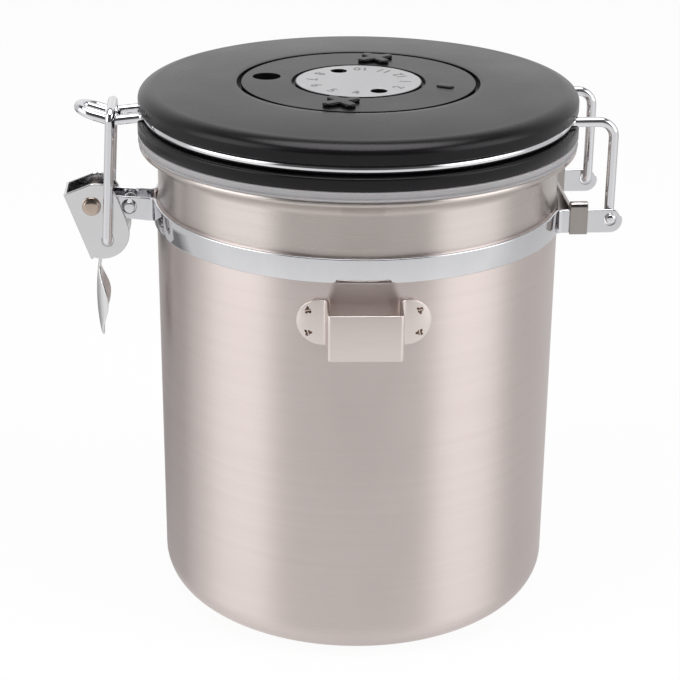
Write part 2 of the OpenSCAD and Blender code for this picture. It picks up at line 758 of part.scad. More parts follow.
// Moulded cover: rounded top, skirt, sunk seat for the dials, spigot and screw posts
module lid_cover() {
  shoulder = [lid_r - shoulder_w, lid_top_z - shoulder_h];
  rounded = [for (a = [0:10:90]) [shoulder[0] + shoulder_w*sin(a), shoulder[1] + shoulder_h*cos(a)]];
  section = concat(
    [[recess_r, lid_top_z]],
    rounded,
    [
      [lid_r, lip_z + 0.3], [lid_r - 0.3, lip_z], [groove_r, lip_z], [groove_r, base_top_z + 0.02],
      [groove_r - spigot_w, base_top_z + 0.02], [groove_r - spigot_w, plate_low_z],
      [recess_r + lid_wall, plate_low_z], [recess_r + lid_wall, floor_low_z],
      [axle_d/2 + 0.05, floor_low_z], [axle_d/2 + 0.05, recess_floor_z], [recess_r, recess_floor_z]
    ]
  );
  post_h = plate_low_z - floor_top_z - 0.02;
  color("dimgray")
    difference() {
      union() {
        rotate_extrude($fn = 180)
          polygon(section);
        for (i = [0:screw_count - 1])
          rotate([0, 0, 45 + 360*i/screw_count])
            translate([screw_circle_r, 0, plate_low_z - post_h])
              cylinder(h = post_h + lid_wall/2, r = screw_d + 1);
      }
      for (i = [0:screw_count - 1])
        rotate([0, 0, 45 + 360*i/screw_count])
          translate([screw_circle_r, 0, plate_low_z - post_h - 1])
            cylinder(h = post_h, r = screw_d/2);
      for (i = [0:5])
        rotate([0, 0, month_turn + 60*i])
          translate([vent_circle_r, 0, floor_low_z - 1])
            cylinder(h = floor_t + 2, r = vent_d/2);
    }
}

// Moulded lid base: the lower ring, and a dish that plugs into the neck
module lid_base() {
  section = [
    [seat_d/2 + 0.05, plug_low_z], [plug_r - 0.6, plug_low_z], [plug_r, plug_low_z + 0.6],
    [plug_r, seal_top_z], [base_r - 0.2, seal_top_z], [base_r, seal_top_z + 0.3],
    [base_r - 0.4, base_top_z - 0.4], [base_r - 0.8, base_top_z], [plug_r - lid_wall, base_top_z],
    [plug_r - lid_wall, floor_top_z], [seat_d/2 + 0.05, floor_top_z]
  ];
  color("dimgray")
    difference() {
      rotate_extrude($fn = 180)
        polygon(section);
      for (i = [0:screw_count - 1])
        rotate([0, 0, 45 + 360*i/screw_count])
          translate([screw_circle_r, 0, plug_low_z]) {
            translate([0, 0, -1])
              cylinder(h = lid_wall + 2, r = screw_d/2 + 0.2);
            translate([0, 0, -0.01])
              cylinder(h = screw_d/2, r1 = screw_d + 0.15, r2 = screw_d/2 + 0.15);
          }
    }
}

module silicone_seal() {
  low_r = base_r - 0.7;
  color("darkgray")
    rotate_extrude($fn = 180)
      polygon([
        [plug_r + 0.05, seal_top_z - 0.02], [base_r - 0.2, seal_top_z - 0.02],
        [base_r - 0.1, seal_top_z - 0.5], [low_r, seal_low_z + 0.3], [low_r - 0.3, seal_low_z],
        [flare_r - wall - 0.3, seal_low_z], [flare_r - wall - 0.7, seal_low_z - 0.4],
        [plug_r + 1, seal_low_z - 0.4], [plug_r + 0.05, seal_low_z]
      ]);
}

// Countersunk screws from the plug up into the cover's posts
module lid_screws() {
  color("silver")
    for (i = [0:screw_count - 1])
      rotate([0, 0, 45 + 360*i/screw_count])
        translate([screw_circle_r, 0, plug_low_z + 0.1])
          difference() {
            union() {
              cylinder(h = screw_d/2 - 0.1, r1 = screw_d - 0.05, r2 = screw_d/2 - 0.05);
              cylinder(h = screw_l, r = screw_d/2 - 0.05);
            }
            for (a = [0, 90])
              rotate([0, 0, a])
                translate([-screw_d*0.6, -screw_d/9, -1])
                  cube([screw_d*1.2, screw_d/4.5, 1.7]);
          }
}

// Thin ring of day numbers that shows through the day window
module day_scale() {
  color("white")
    translate([0, 0, recess_floor_z + 0.01])
      difference() {
        cylinder(h = 0.14, r = day_r - 1.5, $fn = 180);
        translate([0, 0, -1])
          cylinder(h = 2, r = month_seat_r + 1.5);
      }
}

// Flanged bush in the cover that both dials turn on
module dial_axle() {
  color("gray")
    difference() {
      union() {
        translate([0, 0, axle_low_z])
          cylinder(h = axle_flange_t - 0.02, r = axle_d/2 + 2.4);
        translate([0, 0, axle_low_z])
          cylinder(h = web_top_z - axle_low_z, r = axle_d/2);
      }
      translate([0, 0, axle_low_z - 1])
        cylinder(h = 10, r = stem_d/2 + pin_gap);
    }
}

module cross_knob() {
  for (a = [45, -45])
    rotate([0, 0, a]) {
      translate([-(knob_l - knob_w)/2, -knob_w/2, 0])
        cube([knob_l - knob_w, knob_w, knob_h]);
      for (end = [-1, 1])
        translate([end*(knob_l - knob_w)/2, 0, 0])
          cylinder(h = knob_h, r = knob_w/2, $fn = 48);
    }
}

// Turning disc with the day window, the month pointer and two cross knobs
module day_disc() {
  color("black")
    difference() {
      union() {
        rotate_extrude($fn = 180)
          polygon([
            [axle_d/2 + pin_gap, day_low_z], [day_r, day_low_z], [day_r, dial_top_z - 0.3],
            [day_r - 0.3, dial_top_z], [month_seat_r, dial_top_z], [month_seat_r, web_top_z],
            [axle_d/2 + pin_gap, web_top_z]
          ]);
        for (a = knob_angles)
          rotate([0, 0, a])
            translate([knob_circle_r, 0, dial_top_z - 0.05])
              cross_knob();
        rotate([0, 0, pointer_angle])
          translate([pointer_circle_r - pointer_l/2, -0.6, dial_top_z - 0.1])
            cube([pointer_l, 1.2, 0.35]);
      }
      rotate([0, 0, window_angle])
        translate([window_circle_r, 0, day_low_z - 1])
          cylinder(h = day_t + 2, r = window_d/2);
      for (i = [0:5])
        rotate([0, 0, month_turn + 60*i])
          translate([vent_circle_r, 0, day_low_z - 1])
            cylinder(h = day_t + 2, r = vent_d/2 + 0.5);
    }
}

// Metal-faced month dial with two vent holes, on a stem through the axle
module month_dial() {
  color("lightgray")
    difference() {
      union() {
        translate([0, 0, month_low_z])
          cylinder(h = month_t - 0.2, r = month_r, $fn = 180);
        translate([0, 0, month_top_z - 0.2])
          cylinder(h = 0.2, r1 = month_r, r2 = month_r - 0.2, $fn = 180);
        translate([0, 0, stem_low_z])
          cylinder(h = month_low_z - stem_low_z, r = stem_d/2);
      }
      for (month = [first_vent_month, first_vent_month + 6])
        rotate([0, 0, month_turn - month_step*(month - 1)])
          translate([vent_circle_r, 0, month_low_z - 1]) {
            cylinder(h = month_t + 2, r = vent_d/2 - 0.5);
            translate([0, 0, 1 + month_t - 0.5])
              cylinder(h = 0.51, r1 = vent_d/2 - 0.5, r2 = vent_d/2 + 0.1);
          }
      translate([0, 0, clip_z - 0.05])
        difference() {
          cylinder(h = clip_t + 0.1, r = stem_d);
          translate([0, 0, -1])
            cylinder(h = clip_t + 2, r = clip_groove_r);
        }
    }
}

// Push-on ring that keeps the month dial's stem in the axle
module dial_clip() {
  color("silver")
    translate([0, 0, clip_z])
      difference() {
        cylinder(h = clip_t, r = stem_d/2 + 2);
        translate([0, 0, -1])
          cylinder(h = clip_t + 2, r = clip_groove_r + 0.02);
        translate([0, -clip_groove_r*0.7, -1])
          cube([stem_d*2, clip_groove_r*1.4, clip_t + 2]);
      }
}

// Seat of the one-way valve: a flange, a spigot through the plug and a guide pin
module valve_seat() {
  color("whitesmoke")
    difference() {
      union() {
        translate([0, 0, floor_top_z + 0.02])
          cylinder(h = seat_flange_t - 0.02, r = seat_flange_r);
        translate([0, 0, plug_low_z])
          cylinder(h = lid_wall + 0.5, r = seat_d/2);
        translate([0, 0, seat_top_z - 0.5])
          cylinder(h = cage_roof_z - seat_top_z + 0.3, r = guide_d/2);
      }
      translate([0, 0, plug_low_z - 1])
        cylinder(h = chamber_h + 1, r = chamber_r);
      for (i = [0:seat_holes - 1])
        rotate([0, 0, 360*i/seat_holes])
          translate([seat_hole_circle_r, 0, plug_low_z])
            cylinder(h = 10, r = 1.5, $fn = 48);
    }
}

module valve_membrane() {
  color("saddlebrown")
    translate([0, 0, membrane_low_z])
      difference() {
        cylinder(h = membrane_t, r = membrane_d/2);
        translate([0, 0, -1])
          cylinder(h = membrane_t + 2, r = guide_d/2 + pin_gap);
      }
}

// Cage that stops the membrane's lift and lets the gas out through its roof and sides
module valve_cage() {
  low_z = seat_top_z + 0.02;
  top_z = cage_roof_z + cage_wall;
  color("whitesmoke")
    difference() {
      translate([0, 0, low_z])
        cylinder(h = top_z - low_z, r = cage_in_r + cage_wall);
      translate([0, 0, low_z - 1])
        cylinder(h = cage_roof_z - low_z + 1, r = cage_in_r);
      for (i = [0:5])
        rotate([0, 0, 60*i + 30])
          translate([seat_hole_circle_r, 0, cage_roof_z - 1])
            cylinder(h = 4, r = 1.6, $fn = 48);
    }
}

// Perforated screen that keeps coffee out of the valve
module filter_screen() {
  ring_step = 3.2;
  color("silver")
    translate([0, 0, plug_low_z + 0.1])
      difference() {
        cylinder(h = screen_t, r = chamber_r - 0.05);
        translate([0, 0, -1])
          cylinder(h = 3, r = screen_hole_d/2, $fn = 24);
        for (ring = [1:2])
          for (i = [0:6*ring - 1])
            rotate([0, 0, 60*i/ring])
              translate([ring_step*ring, 0, -1])
                cylinder(h = 3, r = screen_hole_d/2, $fn = 24);
      }
}

canister_shell();
strap_front();
strap_rear();
hinge_tie();
latch_tie_pin();
lever_rivet();
scoop_holder();
latch_lever();
latch_bail();
lid_ring_wire();
nose_wire();
lid_cover();
lid_base();
silicone_seal();
lid_screws();
day_scale();
dial_axle();
day_disc();
month_dial();
dial_clip();
valve_seat();
valve_membrane();
valve_cage();
filter_screen();
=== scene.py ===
import math

import bpy
import numpy as np
from mathutils import Matrix, Vector
from mathutils.geometry import tessellate_polygon


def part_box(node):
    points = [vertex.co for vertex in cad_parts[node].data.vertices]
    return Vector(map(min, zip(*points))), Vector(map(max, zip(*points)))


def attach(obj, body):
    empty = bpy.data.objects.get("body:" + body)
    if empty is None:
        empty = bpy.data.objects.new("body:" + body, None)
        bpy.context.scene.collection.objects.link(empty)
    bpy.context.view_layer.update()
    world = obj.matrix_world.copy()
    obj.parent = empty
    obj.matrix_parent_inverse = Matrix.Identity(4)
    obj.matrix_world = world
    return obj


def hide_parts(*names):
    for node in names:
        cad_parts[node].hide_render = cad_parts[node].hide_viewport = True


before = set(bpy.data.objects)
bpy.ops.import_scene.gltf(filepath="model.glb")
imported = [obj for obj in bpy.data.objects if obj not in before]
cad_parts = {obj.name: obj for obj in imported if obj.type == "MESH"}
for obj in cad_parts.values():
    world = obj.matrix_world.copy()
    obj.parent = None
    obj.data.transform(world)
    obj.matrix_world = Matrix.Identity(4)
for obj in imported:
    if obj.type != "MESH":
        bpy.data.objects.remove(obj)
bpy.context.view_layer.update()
mm = 0.001               # the pieces are worked out in millimetres
print("frame loaded:", len(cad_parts), "nodes")


# Camera at the photograph's angle

view = {
    "place": (-37.45, -530.62, 295.13),   # mm
    "turn": 3.52,                         # degrees from +Y toward +X
    "down": 22.265,                       # degrees below the horizon
    "roll": 0.472,
    "lens": 98.14,
}
cameraData = bpy.data.cameras.new("camera")
cameraData.lens = view["lens"]
cameraData.sensor_width = 36
cameraData.clip_start, cameraData.clip_end = 0.02, 20
camera = bpy.data.objects.new("camera", cameraData)
bpy.context.scene.collection.objects.link(camera)
bpy.context.scene.camera = camera
camera.matrix_world = (
    Matrix.Translation(Vector(view["place"]) * mm)
    @ Matrix.Rotation(math.radians(-view["turn"]), 4, "Z")
    @ Matrix.Rotation(math.radians(90 - view["down"]), 4, "X")
    @ Matrix.Rotation(math.radians(view["roll"]), 4, "Z")
)
bpy.context.scene.view_settings.view_transform = "Standard"


# Shader tools

# A material's nodes; values are set on the shader's own sockets unless they change over the surface.
class Shader:
    def __init__(self, name, **look):
        self.material = bpy.data.materials.new(name)
        self.material.use_nodes = True
        self.nodes = self.material.node_tree.nodes
        self.links = self.material.node_tree.links
        self.surface = self.nodes["Principled BSDF"]
        for key, value in look.items():
            self.surface.inputs[key.replace("_", " ")].default_value = value
        self.place = self.nodes.new("ShaderNodeTexCoord").outputs["Object"]

    def add(self, kind, inputs=(), **settings):
        node = self.nodes.new(kind)
        for key, value in settings.items():
            setattr(node, key, value)
        for key, value in dict(inputs).items():
            if isinstance(value, bpy.types.NodeSocket):
                self.links.new(value, node.inputs[key])
            else:
                node.inputs[key].default_value = value
        return node

    def group(self, tree, **inputs):
        named = {key.replace("_", " "): value for key, value in inputs.items()}
        node = self.add("ShaderNodeGroup", node_tree=tree)
        for key, value in named.items():
            if isinstance(value, bpy.types.NodeSocket):
                self.links.new(value, node.inputs[key])
            else:
                node.inputs[key].default_value = value
        return node.outputs

    def stretched(self, scale, turn=(0, 0, 0)):
        mapping = self.add("ShaderNodeMapping", {"Vector": self.place, "Scale": scale, "Rotation": turn})
        return mapping.outputs["Vector"]

    def blend(self, mask, low, high):
        mix = self.add("ShaderNodeMix", data_type="RGBA")
        self.links.new(mask, mix.inputs[0])
        for socket, value in ((mix.inputs[6], low), (mix.inputs[7], high)):
            if isinstance(value, bpy.types.NodeSocket):
                self.links.new(value, socket)
            else:
                socket.default_value = (*value, 1)
        return mix.outputs[2]

    def feed(self, **sockets):
        for key, socket in sockets.items():
            self.links.new(socket, self.surface.inputs[key.replace("_", " ")])


# An empty effect with named sockets; the inputs' values are their defaults.
def newGroup(name, inputs, outputs):
    tree = bpy.data.node_groups.new(name, "ShaderNodeTree")
    for key, value in inputs.items():
        kind = "NodeSocketVector" if key in ("Vector", "Normal") else "NodeSocketFloat"
        socket = tree.interface.new_socket(key, in_out="INPUT", socket_type=kind)
        if kind == "NodeSocketFloat":
            socket.default_value = value
    for key in outputs:
        kind = "NodeSocketVector" if key == "Normal" else "NodeSocketFloat"
        tree.interface.new_socket(key, in_out="OUTPUT", socket_type=kind)
    return tree, tree.nodes.new("NodeGroupInput").outputs, tree.nodes.new("NodeGroupOutput").inputs


def treeNode(tree, kind, inputs=(), **settings):
    node = tree.nodes.new(kind)
    for key, value in settings.items():
        setattr(node, key, value)
    for key, value in dict(inputs).items():
        if isinstance(value, bpy.types.NodeSocket):
            tree.links.new(value, node.inputs[key])
        else:
            node.inputs[key].default_value = value
    return node


# The value, stretched from its usual spread to the range from low to high.
def toRange(tree, value, low, high, fromLow=0.25, fromHigh=0.75):
    node = treeNode(tree, "ShaderNodeMapRange", {0: value, 1: fromLow, 2: fromHigh, 3: low, 4: high})
    return node.outputs[0]


# Fine lines along the brushing: two noises on coordinates that are long one way and short the other.
def makeBrushing():
    tree, given, out = newGroup(
        "brushing",
        {"Vector": None, "Fine": 1.0, "Low": 0.25, "High": 0.4, "Relief": 0.1},
        ("Roughness", "Tone", "Normal"),
    )
    fine = treeNode(tree, "ShaderNodeTexNoise", {"Vector": given["Vector"], "Scale": given["Fine"],
                                                 "Detail": 3.0, "Roughness": 0.7})
    coarse = treeNode(tree, "ShaderNodeTexNoise", {"Vector": given["Vector"], "Scale": 0.21, "Detail": 1.0})
    both = treeNode(tree, "ShaderNodeMath", {0: fine.outputs["Fac"], 1: coarse.outputs["Fac"]}, operation="ADD")
    half = treeNode(tree, "ShaderNodeMath", {0: both.outputs[0], 1: 0.5}, operation="MULTIPLY")
    spread = treeNode(tree, "ShaderNodeMapRange", {0: half.outputs[0], 1: 0.3, 2: 0.7,
                                                   3: given["Low"], 4: given["High"]})
    tree.links.new(spread.outputs[0], out["Roughness"])
    tree.links.new(toRange(tree, half.outputs[0], 0, 1, 0.3, 0.7), out["Tone"])
    bump = treeNode(tree, "ShaderNodeBump", {"Strength": given["Relief"], "Distance": 0.0001,
                                             "Height": fine.outputs["Fac"]})
    tree.links.new(bump.outputs["Normal"], out["Normal"])
    return tree


# A moulded skin: cells of a fine spark-eroded grain, with a slow drift in gloss.
def makeMoulding():
    tree, given, out = newGroup(
        "moulding",
        {"Vector": None, "Fine": 2500.0, "Low": 0.35, "High": 0.45, "Relief": 0.1},
        ("Roughness", "Tone", "Normal"),
    )
    cells = treeNode(tree, "ShaderNodeTexVoronoi", {"Vector": given["Vector"], "Scale": given["Fine"]},
                     feature="SMOOTH_F1")
    drift = treeNode(tree, "ShaderNodeTexNoise", {"Vector": given["Vector"], "Scale": 38.0, "Detail": 4.0})
    spread = treeNode(tree, "ShaderNodeMapRange", {0: drift.outputs["Fac"], 1: 0.3, 2: 0.7,
                                                   3: given["Low"], 4: given["High"]})
    tree.links.new(spread.outputs[0], out["Roughness"])
    tree.links.new(toRange(tree, drift.outputs["Fac"], 0, 1), out["Tone"])
    bump = treeNode(tree, "ShaderNodeBump", {"Strength": given["Relief"], "Distance": 0.0001,
                                             "Height": cells.outputs["Distance"]})
    tree.links.new(bump.outputs["Normal"], out["Normal"])
    return tree


# Marks of handling: soft cloudy smears, and sparse short scratches cut out of a stretched noise.
def makeHandling():
    tree, given, out = newGroup("handling", {"Vector": None, "Smear": 1.0, "Scratch": 1.0}, ("Smear", "Scratch"))
    cloud = treeNode(tree, "ShaderNodeTexNoise", {"Vector": given["Vector"], "Scale": 24.0, "Detail": 5.0,
                                                  "Distortion": 0.6})
    smear = treeNode(tree, "ShaderNodeMath", {0: toRange(tree, cloud.outputs["Fac"], 0, 1, 0.45, 0.75),
                                              1: given["Smear"]}, operation="MULTIPLY")
    tree.links.new(smear.outputs[0], out["Smear"])
    slanted = treeNode(tree, "ShaderNodeMapping", {"Vector": given["Vector"], "Scale": (900, 120, 60),
                                                   "Rotation": (0.5, 0.3, 0.9)})
    thread = treeNode(tree, "ShaderNodeTexNoise", {"Vector": slanted.outputs[0], "Scale": 1.0, "Detail": 2.0})
    cut = treeNode(tree, "ShaderNodeMath", {0: toRange(tree, thread.outputs["Fac"], 0, 1, 0.66, 0.72),
                                            1: given["Scratch"]}, operation="MULTIPLY")
    tree.links.new(cut.outputs[0], out["Scratch"])
    return tree


brushing, moulding, handling = makeBrushing(), makeMoulding(), makeHandling()


# Materials

# Steel whose brushing runs the way that the stretch says, with smears and a tone that follows the lines.
def steel(name, colour, deep, low, high, stretch, relief, grain, turn=(0, 0, 0), tangent=None):
    shader = Shader(name, Metallic=1.0, Anisotropic=grain)
    marks = shader.group(brushing, Vector=shader.stretched(stretch, turn), Fine=1.0, Low=low, High=high,
                         Relief=relief)
    touch = shader.group(handling, Vector=shader.place, Smear=0.35, Scratch=0.5)
    toned = shader.blend(marks["Tone"], deep, colour)
    worn = shader.blend(touch["Smear"], toned, tuple(0.9 * c for c in colour))
    rough = shader.add("ShaderNodeMath", {0: marks["Roughness"], 1: 0.06, 2: 0.0}, operation="ADD")
    drift = shader.add("ShaderNodeMix", {0: touch["Smear"], 2: marks["Roughness"], 3: rough.outputs[0]})
    shader.feed(Base_Color=worn, Roughness=drift.outputs[0], Normal=marks["Normal"])
    if tangent:          # the brushing runs round, so the gloss spreads up and down
        shader.surface.inputs["Anisotropic Rotation"].default_value = 0.25
        shader.links.new(shader.add("ShaderNodeTangent", direction_type="RADIAL", axis=tangent).outputs[0],
                         shader.surface.inputs["Tangent"])
    return shader.material


# Polished metal: nearly a mirror, with faint drawing marks and a few soft smears in its colour.
def polished(name, colour, low, high):
    shader = Shader(name, Metallic=1.0)
    marks = shader.group(brushing, Vector=shader.stretched((260, 260, 260)), Fine=1.0, Low=low, High=high,
                         Relief=0.02)
    touch = shader.group(handling, Vector=shader.place, Smear=0.3, Scratch=0.4)
    toned = shader.blend(marks["Tone"], tuple(0.94 * c for c in colour), colour)
    worn = shader.blend(touch["Smear"], toned, tuple(0.9 * c for c in colour))
    shader.feed(Base_Color=worn, Roughness=marks["Roughness"], Normal=marks["Normal"])
    return shader.material


# Moulded plastic or rubber: fine grain, and a colour that drifts a little and pales at smears.
def moulded(name, colour, low, high, relief=0.12, fine=2200.0, **look):
    shader = Shader(name, **look)
    skin = shader.group(moulding, Vector=shader.place, Fine=fine, Low=low, High=high, Relief=relief)
    touch = shader.group(handling, Vector=shader.place, Smear=0.5, Scratch=0.3)
    toned = shader.blend(skin["Tone"], tuple(0.9 * c for c in colour), colour)
    pale = tuple(min(1.0, 1.1 * c + 0.004) for c in colour)
    shader.feed(Base_Color=shader.blend(touch["Smear"], toned, pale), Roughness=skin["Roughness"],
                Normal=skin["Normal"])
    return shader.material


finishes = {
    "canSteel": steel("can_steel", (0.69, 0.61, 0.585), (0.65, 0.57, 0.545), 0.31, 0.36, (18, 18, 2600), 0.08,
                      0.92, tangent="Z"),
    # the neck's finish: a smoother gloss for its spun surface, and a darker colour that is painted shade from the lid
    # above and the strap below
    "neckSteelPaintedShade": steel("neck_steel_painted_shade", (0.61, 0.555, 0.525), (0.56, 0.505, 0.475), 0.26, 0.31, (18, 18, 2600), 0.05,
                       1.0, tangent="Z"),
    "holderSteel": steel("holder_steel", (0.76, 0.685, 0.655), (0.71, 0.635, 0.605), 0.27, 0.33, (120, 120, 900),
                         0.05, 0.6, tangent="Z"),
    "weldBrown": steel("weld_brown", (0.22, 0.14, 0.1), (0.06, 0.035, 0.025), 0.2, 0.5, (1500, 1500, 1500), 0.4,
                       0.0),
    "leverSteel": steel("lever_steel", (0.72, 0.715, 0.725), (0.68, 0.675, 0.685), 0.12, 0.2, (160, 160, 160), 0.05,
                        0.0),
    "tabSteel": steel("tab_steel", (0.78, 0.77, 0.77), (0.73, 0.72, 0.72), 0.28, 0.36, (160, 160, 40), 0.05, 0.0),
    "tieSteel": steel("tie_steel", (0.38, 0.35, 0.33), (0.33, 0.3, 0.285), 0.12, 0.2, (300, 300, 60), 0.06, 0.0),
    "rivetSteel": steel("rivet_steel", (0.55, 0.46, 0.4), (0.45, 0.36, 0.3), 0.12, 0.24, (200, 200, 200), 0.08,
                        0.0),
    "screwSteel": steel("screw_steel", (0.62, 0.62, 0.63), (0.5, 0.5, 0.5), 0.2, 0.35, (400, 400, 400), 0.1, 0.0),
    "strapChrome": polished("strap_chrome", (0.69, 0.69, 0.71), 0.03, 0.07),
    "wireChrome": polished("wire_chrome", (0.74, 0.74, 0.76), 0.03, 0.06),
    "blackPlastic": moulded("black_plastic", (0.0045, 0.004, 0.0045), 0.24, 0.3, IOR=1.32,
                            Specular_Tint=(1.0, 0.96, 1.0, 1.0)),
    "dialPlastic": moulded("dial_plastic", (0.0045, 0.004, 0.0045), 0.26, 0.32, IOR=1.31,
                           Specular_Tint=(1.0, 0.96, 1.0, 1.0)),
    "knobPlastic": moulded("knob_plastic", (0.004, 0.004, 0.004), 0.26, 0.34, IOR=1.3),
    "silicone": moulded("grey_silicone", (0.38, 0.37, 0.38), 0.42, 0.5, 0.05, 900.0, Subsurface_Weight=0.1,
                        Subsurface_Scale=0.001),
    "whitePlastic": moulded("white_plastic", (0.72, 0.71, 0.68), 0.35, 0.45, 0.06),
    "brownRubber": moulded("brown_rubber", (0.14, 0.06, 0.03), 0.5, 0.6, 0.1),
    # the day scale's near-black base and dim grey numbers are painted shade, darkened so that the deep day window
    # reads black
    "scalePaintedShade": moulded("scale_print", (0.012, 0.012, 0.012), 0.5, 0.6),
    "greyInk": moulded("grey_ink", (0.16, 0.16, 0.16), 0.4, 0.5),
    "dimInkPaintedShade": moulded("dim_ink_painted_shade", (0.09, 0.09, 0.09), 0.5, 0.6),
}


# Silver print on the month dial: a light satin grey that is spun round the middle.
def silverFace():
    shader = Shader("silver_face", Metallic=0.15, IOR=1.3)
    marks = shader.group(brushing, Vector=shader.stretched((900, 900, 900)), Fine=1.0, Low=0.32, High=0.42,
                         Relief=0.04)
    touch = shader.group(handling, Vector=shader.place, Smear=0.4, Scratch=0.4)
    toned = shader.blend(marks["Tone"], (0.42, 0.42, 0.43), (0.47, 0.47, 0.48))
    shader.feed(Base_Color=shader.blend(touch["Smear"], toned, (0.4, 0.4, 0.41)),
                Roughness=marks["Roughness"], Normal=marks["Normal"])
    return shader.material


finishes["silverFace"] = silverFace()
print("materials made:", len(finishes))


# Mesh tools

# A piece from points in millimetres and a list of faces, shaded smooth between its sharp edges.
def makePiece(name, points, faces, body, slot, finish, crease=35, replaces=(), flat=False):
    mesh = bpy.data.meshes.new(name)
    mesh.from_pydata((np.asarray(points, float) * mm).tolist(), [], [list(f) for f in faces])
    mesh.polygons.foreach_set("use_smooth", np.ones(len(mesh.polygons), bool))
    mesh.set_sharp_from_angle(angle=math.radians(crease))
    mesh.update()
    piece = bpy.data.objects.new(name, mesh)
    bpy.context.scene.collection.objects.link(piece)
    mesh.materials.append(finishes[finish])
    if flat:             # large flat faces keep their own normals beside a rounded edge
        weighting = piece.modifiers.new("weighting", "WEIGHTED_NORMAL")
        weighting.keep_sharp = True
        weighting.weight = 100
    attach(piece, body)
    if replaces:
        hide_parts(*replaces)
    return piece


# Quads of a grid of points, numbered row by row; a wrapped way joins its last line to its first.
def gridFaces(rows, cols, wrapRows=False, wrapCols=True):
    i = np.arange(rows if wrapRows else rows - 1)[:, None]
    j = np.arange(cols if wrapCols else cols - 1)[None, :]
    nextI, nextJ = (i + 1) % rows, (j + 1) % cols
    quads = np.stack(np.broadcast_arrays(i * cols + j, i * cols + nextJ, nextI * cols + nextJ, nextI * cols + j), -1)
    return quads.reshape(-1, 4).tolist()


# Triangles from a closed ring of point numbers to one pole.
def fan(ring, pole, outward=True):
    ahead = np.roll(ring, -1)
    order = (ring, ahead) if outward else (ahead, ring)
    return np.stack([order[0], order[1], np.full(len(ring), pole)], -1).tolist()


# Points of a circle's arc in a profile, from one angle to the other, in degrees.
def arc(centre, radius, start, end, steps):
    a = np.radians(np.linspace(start, end, steps + 1))
    rx, ry = (radius, radius) if np.isscalar(radius) else radius
    return np.stack([centre[0] + rx * np.cos(a), centre[1] + ry * np.sin(a)], -1)


# A profile of radius and height, turned round Z: x = r cos t, y = r sin t. An open one ends on the axis.
def lathe(profile, steps=256, closed=True):
    profile = np.asarray(profile, float)
    t = np.linspace(0, 2 * math.pi, steps, endpoint=False)
    ring = profile if closed else profile[1:-1]
    r, z = ring[:, 0][:, None], ring[:, 1][:, None]
    points = np.stack([r * np.cos(t), r * np.sin(t), z + 0 * t], -1).reshape(-1, 3)
    faces = gridFaces(len(ring), steps, wrapRows=closed)
    if not closed:
        poles = np.array([[0, 0, profile[0, 1]], [0, 0, profile[-1, 1]]])
        faces += fan(np.arange(steps), len(points), outward=False)
        faces += fan(np.arange(steps) + (len(ring) - 1) * steps, len(points) + 1)
        points = np.vstack([points, poles])
    return points, faces


# Points carried from a piece's own axes to a place in the model.
def turned(points, origin, matrix):
    return np.asarray(points) @ np.asarray(matrix, float).T + np.asarray(origin, float)


alongY = [[1, 0, 0], [0, 0, -1], [0, 1, 0]]        # the lathe's axis laid along -Y
sideways = [[1, 0, 0], [0, 0, -1], [0, 1, 0]]      # a slab's x and y stood up in the XZ plane


# A line through the corners with each one rounded: an arc that touches both straights, of the bend's radius.
def roundedPath(corners, bends, step=6):
    corners = np.asarray(corners, float)
    points = [corners[:1]]
    for before, corner, after, bend in zip(corners[:-2], corners[1:-1], corners[2:], bends):
        a, b = before - corner, after - corner
        a, b = a / np.linalg.norm(a), b / np.linalg.norm(b)
        half = math.acos(np.clip(a @ b, -1, 1)) / 2
        middle = (a + b) / np.linalg.norm(a + b)
        centre = corner + middle * bend / math.sin(half)
        sweep = math.pi / 2 - half
        side = (b - a) / np.linalg.norm(b - a)
        count = max(3, int(2 * math.degrees(sweep) / step))
        turn = np.linspace(-sweep, sweep, count + 1)[:, None]
        points.append(centre + bend * (-middle * np.cos(turn) + side * np.sin(turn)))
    points.append(corners[-1:])
    return np.vstack(points)


# The same line with points no further apart than the gap, so that a tube's rings stay close.
def evenPath(path, gap):
    steps = np.linalg.norm(np.diff(path, axis=0), axis=1)
    keep = np.concatenate([[True], steps > 1e-4])
    path, steps = path[keep], steps[steps > 1e-4]
    parts = [a + (b - a) * np.linspace(0, 1, max(1, math.ceil(d / gap)), endpoint=False)[:, None]
             for a, b, d in zip(path[:-1], path[1:], steps)]
    return np.vstack([*parts, path[-1:]])


# A circle carried along a path square to it, with no twist of its own; each end closes in a low dome.
def tube(path, radius, sides=28, endRound=0.35):
    path = evenPath(path, 2.5)
    tangent = np.gradient(path, axis=0)
    tangent /= np.linalg.norm(tangent, axis=1)[:, None]
    normal = np.empty_like(path)
    start = np.cross(tangent[0], [0.3, 0.5, 0.8])
    normal[0] = start / np.linalg.norm(start)
    for k in range(1, len(path)):        # each frame is the last one, laid square to the new tangent
        n = normal[k - 1] - (normal[k - 1] @ tangent[k]) * tangent[k]
        normal[k] = n / np.linalg.norm(n)
    turn = np.radians([0, 30, 60, 82])
    reach, size = endRound * radius * np.sin(turn[::-1]), np.cos(turn[::-1])
    centres = np.vstack([path[0] - tangent[0] * reach[:, None], path[1:-1],
                         path[-1] + tangent[-1] * reach[::-1, None]])
    sizes = np.concatenate([size, np.ones(len(path) - 2), size[::-1]]) * radius
    pick = np.concatenate([np.zeros(4, int), np.arange(1, len(path) - 1), np.full(4, len(path) - 1)])
    n, t = normal[pick], tangent[pick]
    b = np.cross(t, n)
    a = np.linspace(0, 2 * math.pi, sides, endpoint=False)[None, :, None]
    rings = centres[:, None] + sizes[:, None, None] * (np.cos(a) * n[:, None] + np.sin(a) * b[:, None])
    points = rings.reshape(-1, 3)
    faces = gridFaces(len(rings), sides)
    poles = np.stack([centres[0], centres[-1]])
    faces += fan(np.arange(sides), len(points), outward=False)
    faces += fan(np.arange(sides) + (len(rings) - 1) * sides, len(points) + 1)
    return np.vstack([points, poles]), faces


